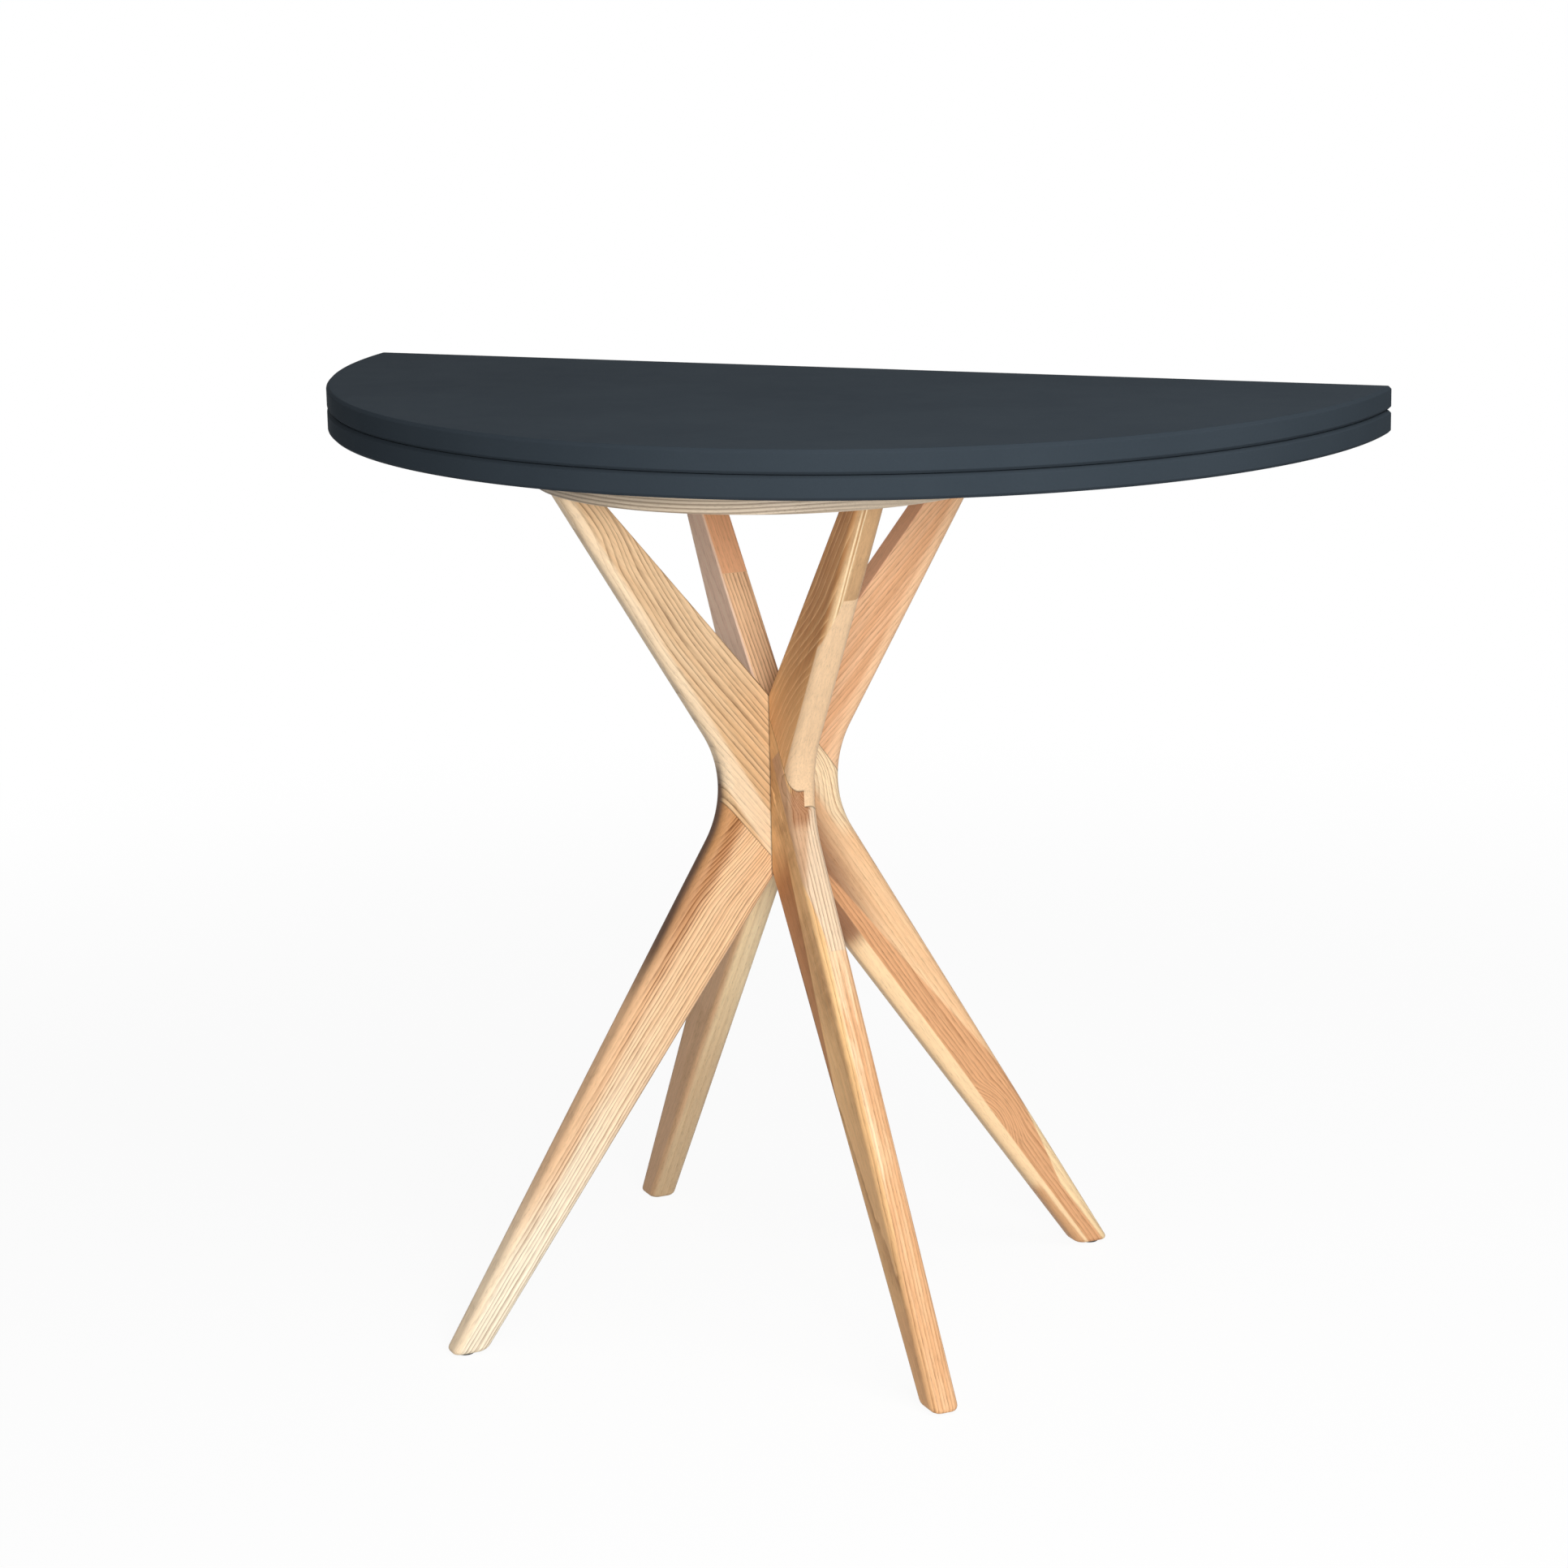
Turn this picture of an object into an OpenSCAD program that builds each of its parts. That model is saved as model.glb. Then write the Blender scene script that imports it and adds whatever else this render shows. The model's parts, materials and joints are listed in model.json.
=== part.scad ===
// Half-moon console table. Two stacked leaves turn a quarter on an off-centre pivot,
// then the upper leaf folds over to make a round table above the same four-legged base.
// Millimetres, +Z up. The origin is on the floor, on the base's axis, and the leaves'
// straight edge is at the back (+Y).

/* [Top] */
// Height of the folded table
table_h = 745; // [700:5:790]
// Radius of the round top
top_r = 450; // [430:5:500]
// Thickness of one leaf
leaf_t = 19; // [18:0.5:25]
// Gap between the folded leaves
leaf_gap = 0.4; // [0.2:0.1:1]
// Bevel on the arrises of the leaves
leaf_bevel = 2.5; // [1:0.5:4]
// Gap between the straight edges when the top is open
joint_gap = 1; // [0.6:0.2:3]

/* [Base plate] */
// Radius of the round plate under the leaves
plate_r = 189; // [187:1:200]
// Thickness of the plate
plate_t = 17; // [16:0.5:24]
// Bevel on the plate's two arrises
plate_bevel = 1.2; // [0.5:0.1:2]
// Radius of a glide pad
pad_r = 12; // [8:0.5:15]
// How far a glide pad stands out of the plate
pad_proud = 0.8; // [0.5:0.1:2]
// How deep a glide pad is let into the plate
pad_let_in = 1.2; // [0.8:0.1:2]
// Radius of the ring of glide pads
pad_ring_r = 150; // [140:1:155]
// Number of glide pads
pad_count = 6; // [4:2:8]

/* [Legs] */
// Thickness of a leg
leg_t = 24; // [22:0.5:30]
// Radius of the rounded long edges
leg_round = 8; // [4:0.5:10]
// Radius of the crisper inner edges of the arms
arm_inner_round = 1.5; // [0.5:0.5:8]
// Distance from the axis to a leg's outer edge at the floor
foot_r = 300; // [280:5:340]
// Width of a leg at the floor
foot_w = 30.5; // [26:0.5:40]
// Rounding round the sole of a foot
foot_round = 5; // [2:0.5:7]
// Distance from the axis to an arm's outer edge under the plate
arm_top_r = 186; // [180:1:187]
// Width of an arm under the plate
arm_top_w = 31; // [28:0.5:40]
// Height where the straight outer edges of arm and leg would meet
waist_z = 439; // [420:1:460]
// Distance from the axis to that meeting point
waist_r = 36.5; // [34:0.5:45]
// Radius of the hollow at the waist
waist_fillet = 85; // [60:1:110]
// How far below the waist the legs' inner edges meet on the axis
crotch_drop = 64; // [56:1:75]
// How far above the waist the arms' inner edges meet on the axis
crotch_rise = 61; // [56:1:75]
// Width of the board an arm is cut from
arm_board_w = 85; // [80:0.5:90]
// Width of the board a leg is cut from
leg_board_w = 80; // [76:0.5:85]

/* [Hinges] */
// Distance of the outer hinges from the middle one
hinge_pitch = 300; // [200:5:340]
// Length of a hinge
hinge_l = 60; // [50:1:80]
// Height of one flap, from the pin's axis
flap_h = 14; // [12:0.5:15]
// Thickness of a flap
flap_t = 1.6; // [1.2:0.1:2]
// Outer radius of the knuckles
knuckle_r = 3; // [2.6:0.1:4]
// Radius of a hinge pin
hinge_pin_r = 1.5; // [1:0.1:1.8]
// Gap between neighbouring knuckles
knuckle_gap = 0.3; // [0.2:0.1:0.6]
// Gap between a knuckle and the notch round it
knuckle_clear = 0.4; // [0.3:0.1:1]

/* [Pivot] */
// Side of the square pivot plate let into the lower leaf
pivot_plate_w = 90; // [80:1:95]
// Thickness of the pivot plate
pivot_plate_t = 3; // [2:0.5:4]
// Corner radius of the pivot plate
pivot_plate_corner = 6; // [3:0.5:10]
// Distance of a pivot plate screw from the plate's edges
pivot_screw_inset = 9; // [8:0.5:12]
// Radius of the shoulder that the pivot plate turns on
shoulder_r = 6; // [5:0.5:7]
// Radius of the bolt's thread
thread_r = 4; // [3:0.5:4.5]
// Length of the bolt's thread
thread_l = 12; // [8:0.5:13]
// Radius of the bolt's head
bolt_head_r = 11; // [9:0.5:13]
// Thickness of the bolt's head
bolt_head_t = 3.5; // [3:0.5:4]
// Width across the flats of the socket in the bolt's head
socket_w = 6; // [5:0.5:8]
// Depth of that socket
socket_depth = 2.2; // [1.5:0.1:2.5]
// Outer radius of the threaded insert
insert_r = 6.5; // [6:0.5:7]
// Length of the threaded insert
insert_l = 14; // [13.5:0.5:15]
// Outer radius of the thrust washers
washer_r = 14; // [12:0.5:16]
// Thickness of the upper thrust washer
washer_t = 1; // [0.5:0.1:1.5]
// Radius of the stop pin
stop_pin_r = 4; // [3:0.5:5]
// Radius of the stop pin's head, let into the plate's underside
stop_head_r = 7; // [6:0.5:8]
// Thickness of the stop pin's head
stop_head_t = 3; // [2.5:0.5:4]
// Distance of the stop pin from the pivot
stop_r = 76; // [74:1:85]
// Depth of the groove that the stop pin runs in
stop_groove_depth = 6; // [4:0.5:8]

/* [Screws, dowels and glides] */
// Radius of an arm screw's shank
arm_screw_r = 2; // [1.5:0.1:2.2]
// Length of an arm screw
arm_screw_l = 35; // [28:1:36]
// Distance of the arm screws from the axis
arm_screw_ring = 170; // [168:0.5:172]
// Distance of the two arm screws from the middle of the arm
arm_screw_side = 7; // [6.5:0.1:7.5]
// Radius of a hinge or pivot plate screw's shank
small_screw_r = 1.4; // [1:0.1:1.6]
// Length of a hinge screw
hinge_screw_l = 16; // [10:1:25]
// Length of a pivot plate screw
pivot_screw_l = 12; // [8:1:14]
// Radius of a dowel between two legs at the hub
hub_dowel_r = 3; // [2:0.5:3.5]
// Length of a hub dowel
hub_dowel_l = 20; // [14:1:22]
// How far below the waist the lower hub dowels are
hub_dowel_drop = 32; // [24:1:36]
// How far above the waist the upper hub dowels are
hub_dowel_rise = 26; // [18:1:30]
// Radius of a dowel across a knee's lap
lap_dowel_r = 4; // [3:0.5:5]
// Length of a lap dowel
lap_dowel_l = 16; // [10:1:18]
// How far above and below the waist the lap dowels are
lap_dowel_spread = 14; // [8:1:15]
// How far the lap dowels stay inside the point where the outer edges would meet
lap_dowel_edge = 1; // [0.5:0.5:3]
// Radius of a floor glide
glide_r = 7; // [5:0.5:7]
// Thickness of a floor glide
glide_t = 1.5; // [1:0.5:3]
// Radius of a floor glide's nail
glide_nail_r = 1.8; // [1:0.1:2.5]
// Length of a floor glide's nail
glide_nail_l = 14; // [10:1:20]

/* [Clearances] */
// Gap round pieces that are glued, pressed or screwed in
seat_fit = 0.1; // [0.05:0.05:0.2]
// Radial gap of the hinge pins and the pivot's shoulder
running_fit = 0.05; // [0.02:0.01:0.1]
// Free space round the stop pin and the bolt's head
free_gap = 0.5; // [0.4:0.1:1]
// How deep the heads of the arm screws and of the stop pin are sunk
head_sink = 0.3; // [0.1:0.1:0.5]

/* [Hidden] */
$fn = 64;

// Azimuths of the four legs
FRONT_LEFT = 225;
FRONT_RIGHT = 315;
BACK_RIGHT = 45;
BACK_LEFT = 135;
LEG_AZIMUTHS = [FRONT_LEFT, FRONT_RIGHT, BACK_RIGHT, BACK_LEFT];

// Hollow cuts run this far past a face
past = 1;

// Heights, from the top down
upper_leaf_z = table_h - leaf_t;
hinge_z = upper_leaf_z - leaf_gap / 2;
lower_leaf_z = upper_leaf_z - leaf_gap - leaf_t;
plate_top_z = lower_leaf_z - pad_proud;
plate_z = plate_top_z - plate_t;

// The folded top is centred over the base from its curved front to its knuckles
hinge_reach = joint_gap / 2 + knuckle_r;
edge_y = (top_r - hinge_reach) / 2;
hinge_y = edge_y + joint_gap / 2;
// A quarter turn about this point brings the hinge line over the base's axis
pivot_xy = [hinge_y / 2, hinge_y / 2];

// Heights where the inner edges of the legs and of the arms meet on the axis
crotch_low_z = waist_z - crotch_drop;
crotch_high_z = waist_z + crotch_rise;

// Slopes of a leg's four edges, as run over rise
leg_out_slope = (foot_r - waist_r) / waist_z;
arm_out_slope = (arm_top_r - waist_r) / (plate_z - waist_z);
leg_in_slope = (foot_r - foot_w) / crotch_low_z;
arm_in_slope = (arm_top_r - arm_top_w) / (plate_z - crotch_high_z);
function leg_inner(z) = leg_in_slope * (crotch_low_z - z);
function arm_inner(z) = arm_in_slope * (z - crotch_high_z);
function leg_outer(z) = waist_r + leg_out_slope * (waist_z - z);

// The hollow at the waist is an arc that both straight outer edges run into
leg_lean = atan(leg_out_slope);
arm_lean = atan(arm_out_slope);
waist_tangent = waist_fillet * tan((leg_lean + arm_lean) / 2);
waist_centre = [waist_r + waist_tangent * sin(leg_lean) + waist_fillet * cos(leg_lean),
    waist_z - waist_tangent * cos(leg_lean) + waist_fillet * sin(leg_lean)];
WAIST_STEPS = 10;
waist_points = [for (i = [0:WAIST_STEPS])
    let (a = leg_lean - (leg_lean + arm_lean) * i / WAIST_STEPS)
    [waist_centre[0] - waist_fillet * cos(a), waist_centre[1] - waist_fillet * sin(a)]];

// Level sections of a whole leg: outer radius, height and how far the section is drawn in
SOLE_STEPS = 4;
sole_points = [for (i = [0:SOLE_STEPS])
    let (a = 90 * i / SOLE_STEPS, z = glide_t + foot_round * (1 - cos(a)))
    [leg_outer(z), z, foot_round * (1 - sin(a))]];
leg_levels = concat(
    sole_points,
    [for (p = waist_points) [p[0], p[1], 0]],
    [[arm_top_r, plate_z, 0]]);
CORNER_STEPS = 5;
least_round = 0.01;
function rounded_section(outer, z, inset) =
    let (inner = max(leg_inner(z), arm_inner(z)), half = leg_t / 2,
        out_round = max(leg_round, inset), in_round = z > waist_z ? arm_inner_round : out_round,
        corners = [[outer, half, 0, out_round], [inner, half, 90, in_round],
            [inner, -half, 180, in_round], [outer, -half, 270, out_round]])
    [for (c = corners) for (i = [0:CORNER_STEPS])
        let (a = c[2] + 90 * i / CORNER_STEPS, r = max(c[3] - inset, least_round))
        [c[0] - sign(c[0] - (outer + inner) / 2) * c[3] + r * cos(a),
            c[1] - sign(c[1]) * c[3] + r * sin(a), z]];
SECTION_POINTS = 4 * (CORNER_STEPS + 1);

// Shoulders of the half-lap: each runs along the far edge of the board that crosses it
function shoulder_run(slope, board_w) = board_w * sqrt(1 + slope * slope);
arm_shoulder_z = crotch_high_z - shoulder_run(arm_in_slope, arm_board_w) / arm_in_slope;
leg_shoulder_z = crotch_low_z + shoulder_run(leg_in_slope, leg_board_w) / leg_in_slope;

// Places of the dowels. A hub dowel stands this share of a leg's thickness from the axis.
HUB_DOWEL_SHARE = 0.35;
hub_dowel_off = leg_t * HUB_DOWEL_SHARE;
hub_dowel_heights = [waist_z - hub_dowel_drop, waist_z + hub_dowel_rise];
hub_dowel_step = 4 * hub_dowel_r;
lap_dowel_at = waist_r - lap_dowel_r - lap_dowel_edge;
lap_dowel_heights = [waist_z - lap_dowel_spread, waist_z + lap_dowel_spread];

// Fixings
foot_mid_r = foot_r - foot_w / 2;
arm_screw_top = plate_top_z - head_sink;
pivot_screw_at = pivot_plate_w / 2 - pivot_screw_inset;
hinge_screw_z = (flap_h + knuckle_r + knuckle_clear) / 2;
hinge_screw_xs = [-hinge_l / 3, 0, hinge_l / 3];
hinge_xs = [-hinge_pitch, 0, hinge_pitch];
KNUCKLES = 5;
pivot_plate_top_z = lower_leaf_z + pivot_plate_t;
bolt_head_z = pivot_plate_top_z + washer_t;
stop_slot_r = stop_pin_r + free_gap;

LACQUER = [0.22, 0.26, 0.30];
ASH_TAN = [0.82, 0.69, 0.52];
ASH_CREAM = [0.89, 0.76, 0.59];
ASH_HONEY = [0.74, 0.58, 0.39];
ASH_PEACH = [0.83, 0.62, 0.46];
ASH_PINK = [0.76, 0.58, 0.46];
ASH_KHAKI = [0.74, 0.65, 0.49];
ASH_GREY = [0.66, 0.59, 0.49];
BEECH = [0.86, 0.72, 0.55];
FELT = [0.25, 0.25, 0.24];
NYLON = [0.90, 0.89, 0.85];
BRASS = [0.72, 0.58, 0.30];
STEEL = [0.62, 0.63, 0.65];

// A whole leg, arm and all, in its own plane: X away from the axis, Y across, Z up
module leg_form() {
    points = [for (level = leg_levels) each rounded_section(level[0], level[1], level[2])];
    top = len(leg_levels) - 1;
    n = SECTION_POINTS;
    polyhedron(points, concat(
        [[for (i = [0:n - 1]) i]],
        [[for (i = [n - 1:-1:0]) top * n + i]],
        [for (k = [0:top - 1]) for (i = [0:n - 1])
            let (j = (i + 1) % n)
            [k * n + i, (k + 1) * n + i, (k + 1) * n + j, k * n + j]]));
}

// The wedge that a leg may fill, so that four mitred legs close round the axis
module mitre_wedge() {
    far = foot_r + past;
    linear_extrude(table_h) polygon([[0, 0], [far, -far], [far, far]]);
}

// The part of one half of the thickness that the arm's tongue takes
module arm_tongue() {
    high = plate_z + past;
    rotate([90, 0, 0]) translate([0, 0, -leg_t]) linear_extrude(leg_t)
        polygon([[0, arm_shoulder_z], [arm_in_slope * (high - arm_shoulder_z), high], [0, high]]);
}

// The part of the other half that the leg's tongue takes
module leg_tongue() {
    rotate([90, 0, 0]) linear_extrude(leg_t)
        polygon([[0, -past], [leg_in_slope * (leg_shoulder_z + past), -past], [0, leg_shoulder_z]]);
}

module far_half() {
    translate([0, -leg_t, -past]) cube([foot_r + past, leg_t, table_h]);
}

module near_half() {
    translate([0, 0, -past]) cube([foot_r + past, leg_t, table_h]);
}

// A dowel across the mitre at the given azimuth
module hub_dowel(azimuth, z, r, l) {
    rotate([0, 0, azimuth]) translate([hub_dowel_off, 0, z]) rotate([90, 0, 0])
        cylinder(h = l, r = r, center = true);
}

// All the hub's dowels, grown by a gap: the same module drills their holes
module hub_dowel_set(gap) {
    for (azimuth = [0, 90, 180, 270]) {
        step = azimuth % 180 == 0 ? 0 : hub_dowel_step;
        for (z = hub_dowel_heights) hub_dowel(azimuth, z + step, hub_dowel_r + gap, hub_dowel_l + 2 * gap);
    }
}

// The dowels of one knee, in the leg's own plane
module lap_dowel_pair(gap) {
    for (z = lap_dowel_heights)
        translate([lap_dowel_at, 0, z]) rotate([90, 0, 0])
            cylinder(h = lap_dowel_l + 2 * gap, r = lap_dowel_r + gap, center = true);
}

// A countersunk screw that points down from its head's top face, or with a gap its hole
module countersunk_screw(r, l, gap) {
    head_r = 2 * r;
    translate([0, 0, -l - gap]) cylinder(h = l, r = r + gap);
    translate([0, 0, -r]) cylinder(h = r, r1 = r + gap, r2 = head_r + gap);
    if (gap > 0) cylinder(h = past, r = head_r + gap);
}

// The two screws of one arm, in the leg's own plane
module arm_screw_pair(gap) {
    for (side = [-1, 1])
        translate([arm_screw_ring, side * arm_screw_side, arm_screw_top])
            countersunk_screw(arm_screw_r, arm_screw_l, gap);
}

module glide_nail(gap) {
    translate([foot_mid_r, 0, 0]) cylinder(h = glide_t + glide_nail_l + gap, r = glide_nail_r + gap);
}

module lower_leg(azimuth) {
    difference() {
        rotate([0, 0, azimuth]) difference() {
            intersection() {
                leg_form();
                mitre_wedge();
                union() {
                    leg_tongue();
                    difference() {
                        near_half();
                        arm_tongue();
                    }
                }
            }
            lap_dowel_pair(seat_fit);
            glide_nail(seat_fit);
        }
        hub_dowel_set(seat_fit);
    }
}

module upper_arm(azimuth) {
    difference() {
        rotate([0, 0, azimuth]) difference() {
            intersection() {
                leg_form();
                mitre_wedge();
                union() {
                    arm_tongue();
                    difference() {
                        far_half();
                        leg_tongue();
                    }
                }
            }
            lap_dowel_pair(seat_fit);
            arm_screw_pair(seat_fit);
        }
        hub_dowel_set(seat_fit);
    }
}

module leg_front_left() { color(ASH_CREAM) lower_leg(FRONT_LEFT); }
module leg_front_right() { color(ASH_HONEY) lower_leg(FRONT_RIGHT); }
module leg_back_right() { color(ASH_CREAM) lower_leg(BACK_RIGHT); }
module leg_back_left() { color(ASH_KHAKI) lower_leg(BACK_LEFT); }
module arm_front_left() { color(ASH_TAN) upper_arm(FRONT_LEFT); }
module arm_front_right() { color(ASH_HONEY) upper_arm(FRONT_RIGHT); }
module arm_back_right() { color(ASH_PEACH) upper_arm(BACK_RIGHT); }
module arm_back_left() { color(ASH_PINK) upper_arm(BACK_LEFT); }

// A disc with both arrises bevelled
module bevelled_disc(r, t, bevel) {
    rotate_extrude(angle = 360)
        polygon([[0, 0], [r - bevel, 0], [r, bevel], [r, t - bevel], [r - bevel, t], [0, t]]);
}

module at_pads() {
    for (i = [0:pad_count - 1])
        rotate([0, 0, 360 * i / pad_count]) translate([pad_ring_r, 0, plate_top_z]) children();
}

module at_pivot(z) {
    translate([pivot_xy[0], pivot_xy[1], z]) children();
}

module at_stop_pin() {
    at_pivot(plate_top_z) translate([0, -stop_r, 0]) children();
}

module base_plate() {
    color(ASH_GREY) difference() {
        translate([0, 0, plate_z]) bevelled_disc(plate_r, plate_t, plate_bevel);
        at_pads() translate([0, 0, -pad_let_in]) cylinder(h = pad_let_in + past, r = pad_r + seat_fit);
        at_pivot(plate_top_z - insert_l - seat_fit) cylinder(h = insert_l + past, r = insert_r + seat_fit);
        at_stop_pin() {
            translate([0, 0, -plate_t - past]) cylinder(h = plate_t + 2 * past, r = stop_pin_r + seat_fit);
            translate([0, 0, -plate_t - past])
                cylinder(h = head_sink + stop_head_t + seat_fit + past, r = stop_head_r + seat_fit);
        }
        for (azimuth = LEG_AZIMUTHS) rotate([0, 0, azimuth]) arm_screw_pair(seat_fit);
    }
}

module glide_pads() {
    color(FELT) at_pads() translate([0, 0, -pad_let_in]) cylinder(h = pad_let_in + pad_proud, r = pad_r);
}

module floor_glides() {
    color(FELT) for (azimuth = LEG_AZIMUTHS) rotate([0, 0, azimuth]) {
        translate([foot_mid_r, 0, 0]) cylinder(h = glide_t, r = glide_r);
        glide_nail(0);
    }
}

module arm_screws() {
    color(STEEL) for (azimuth = LEG_AZIMUTHS) rotate([0, 0, azimuth]) arm_screw_pair(0);
}

module hub_dowels() {
    color(BEECH) hub_dowel_set(0);
}

module lap_dowels() {
    color(BEECH) for (azimuth = LEG_AZIMUTHS) rotate([0, 0, azimuth]) lap_dowel_pair(0);
}

module pivot_insert() {
    color(STEEL) at_pivot(plate_top_z - insert_l) difference() {
        cylinder(h = insert_l, r = insert_r);
        translate([0, 0, insert_l - thread_l - free_gap]) cylinder(h = insert_l, r = thread_r + seat_fit);
    }
}

// Shoulder bolt: its shoulder stands on the insert and its head holds the pivot plate down
module pivot_bolt() {
    color(STEEL) difference() {
        union() {
            at_pivot(plate_top_z - thread_l) cylinder(h = thread_l + past, r = thread_r);
            at_pivot(plate_top_z) cylinder(h = bolt_head_z - plate_top_z, r = shoulder_r);
            at_pivot(bolt_head_z) cylinder(h = bolt_head_t, r = bolt_head_r);
        }
        at_pivot(bolt_head_z + bolt_head_t - socket_depth)
            cylinder(h = socket_depth + past, d = socket_w / cos(30), $fn = 6);
    }
}

module thrust_washer(z, t) {
    at_pivot(z) difference() {
        cylinder(h = t, r = washer_r);
        translate([0, 0, -past]) cylinder(h = t + 2 * past, r = shoulder_r + seat_fit);
    }
}

module lower_thrust_washer() { color(NYLON) thrust_washer(plate_top_z, pad_proud); }
module upper_thrust_washer() { color(NYLON) thrust_washer(pivot_plate_top_z, washer_t); }

// The pin is screwed up through the plate after the top is on, so its head has a slot
module stop_pin() {
    tip = stop_pin_r / 4;
    top = pad_proud + stop_groove_depth - free_gap;
    under = -plate_t + head_sink;
    slot_w = stop_head_t / 3;
    color(STEEL) at_stop_pin() difference() {
        union() {
            translate([0, 0, under]) cylinder(h = top - tip - under, r = stop_pin_r);
            translate([0, 0, top - tip]) cylinder(h = tip, r1 = stop_pin_r, r2 = stop_pin_r - tip);
            translate([0, 0, under]) cylinder(h = stop_head_t, r = stop_head_r);
        }
        translate([-stop_head_r - past, -slot_w / 2, under - past])
            cube([2 * (stop_head_r + past), slot_w, slot_w + past]);
    }
}

// A leaf before any hardware is let in
module leaf_blank(z) {
    intersection() {
        translate([0, edge_y, z]) bevelled_disc(top_r, leaf_t, leaf_bevel);
        translate([0, edge_y, z]) rotate([90, 0, 90]) linear_extrude(2 * top_r, center = true)
            polygon([[-top_r, 0], [-leaf_bevel, 0], [0, leaf_bevel], [0, leaf_t - leaf_bevel],
                [-leaf_bevel, leaf_t], [-top_r, leaf_t]]);
    }
}

// Places its children on the pin's axis of each hinge, mirrored down for the lower flaps
module at_hinges(side) {
    for (x = hinge_xs) translate([x, hinge_y, hinge_z]) mirror([0, 0, side < 0 ? 1 : 0]) children();
}

module hinge_screw_set(side, gap) {
    at_hinges(side) for (x = hinge_screw_xs)
        translate([x, -joint_gap / 2, hinge_screw_z]) rotate([-90, 0, 0])
            countersunk_screw(small_screw_r, hinge_screw_l, gap);
}

// What a leaf loses to its hinges: a shallow mortise for the flap and a notch for the knuckles
module hinge_cuts(side) {
    at_hinges(side) {
        translate([-hinge_l / 2 - seat_fit, -joint_gap / 2 - flap_t, -past])
            cube([hinge_l + 2 * seat_fit, flap_t + past, flap_h + seat_fit + past]);
        rotate([0, 90, 0])
            cylinder(h = hinge_l + 2 * knuckle_gap, r = knuckle_r + knuckle_clear, center = true);
    }
    hinge_screw_set(side, seat_fit);
}

// One flap of each hinge with its knuckles, the even ones below and the odd ones above
module hinge_flaps(side) {
    pitch = hinge_l / KNUCKLES;
    clear = knuckle_r + knuckle_clear;
    first = side < 0 ? 0 : 1;
    difference() {
        at_hinges(side) {
            translate([-hinge_l / 2, -joint_gap / 2 - flap_t, clear])
                cube([hinge_l, flap_t, flap_h - clear]);
            for (k = [first:2:KNUCKLES - 1])
                translate([-hinge_l / 2 + k * pitch + knuckle_gap / 2, 0, 0]) {
                    rotate([0, 90, 0]) cylinder(h = pitch - knuckle_gap, r = knuckle_r);
                    translate([0, -joint_gap / 2 - flap_t, hinge_pin_r])
                        cube([pitch - knuckle_gap, flap_t, clear]);
                }
        }
        at_hinges(side) rotate([0, 90, 0])
            cylinder(h = hinge_l + 2 * past, r = hinge_pin_r + running_fit, center = true);
        hinge_screw_set(side, seat_fit);
    }
}

module lower_leaf() {
    color(LACQUER) difference() {
        leaf_blank(lower_leaf_z);
        pivot_plate_body(pivot_plate_w + 2 * seat_fit, pivot_plate_t, past);
        at_pivot(lower_leaf_z) cylinder(
            h = pivot_plate_t + washer_t + bolt_head_t + free_gap, r = washer_r + free_gap);
        pivot_screw_set(seat_fit);
        stop_groove();
        hinge_cuts(-1);
    }
}

// The quarter-circle groove, with a round end at each limit of the turn
module stop_groove() {
    at_pivot(lower_leaf_z - past) rotate([0, 0, 180]) {
        rotate_extrude(angle = 90) translate([stop_r - stop_slot_r, 0])
            square([2 * stop_slot_r, stop_groove_depth + past]);
        for (turn = [0, 90]) rotate([0, 0, turn]) translate([stop_r, 0, 0])
            cylinder(h = stop_groove_depth + past, r = stop_slot_r);
    }
}

// A square plate with round corners, its top face at the pivot plate's
module pivot_plate_body(w, t, below) {
    half = w / 2 - pivot_plate_corner;
    at_pivot(lower_leaf_z - below) {
        translate([-w / 2, -half, 0]) cube([w, 2 * half, t + below]);
        translate([-half, -w / 2, 0]) cube([2 * half, w, t + below]);
        for (x = [-half, half]) for (y = [-half, half])
            translate([x, y, 0]) cylinder(h = t + below, r = pivot_plate_corner);
    }
}

module pivot_screw_set(gap) {
    for (x = [-pivot_screw_at, pivot_screw_at]) for (y = [-pivot_screw_at, pivot_screw_at])
        at_pivot(lower_leaf_z) translate([x, y, 0]) rotate([180, 0, 0])
            countersunk_screw(small_screw_r, pivot_screw_l, gap);
}

module pivot_plate() {
    color(STEEL) difference() {
        pivot_plate_body(pivot_plate_w, pivot_plate_t, 0);
        at_pivot(lower_leaf_z - past) cylinder(h = pivot_plate_t + 2 * past, r = shoulder_r + running_fit);
        pivot_screw_set(seat_fit);
    }
}

module pivot_plate_screws() { color(STEEL) pivot_screw_set(0); }
module lower_hinge_flaps() { color(BRASS) hinge_flaps(-1); }
module lower_hinge_screws() { color(BRASS) hinge_screw_set(-1, 0); }

module hinge_pins() {
    color(STEEL) at_hinges(1) rotate([0, 90, 0]) cylinder(h = hinge_l, r = hinge_pin_r, center = true);
}

module upper_leaf() {
    color(LACQUER) difference() {
        leaf_blank(upper_leaf_z);
        hinge_cuts(1);
    }
}

module upper_hinge_flaps() { color(BRASS) hinge_flaps(1); }
module upper_hinge_screws() { color(BRASS) hinge_screw_set(1, 0); }

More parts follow.
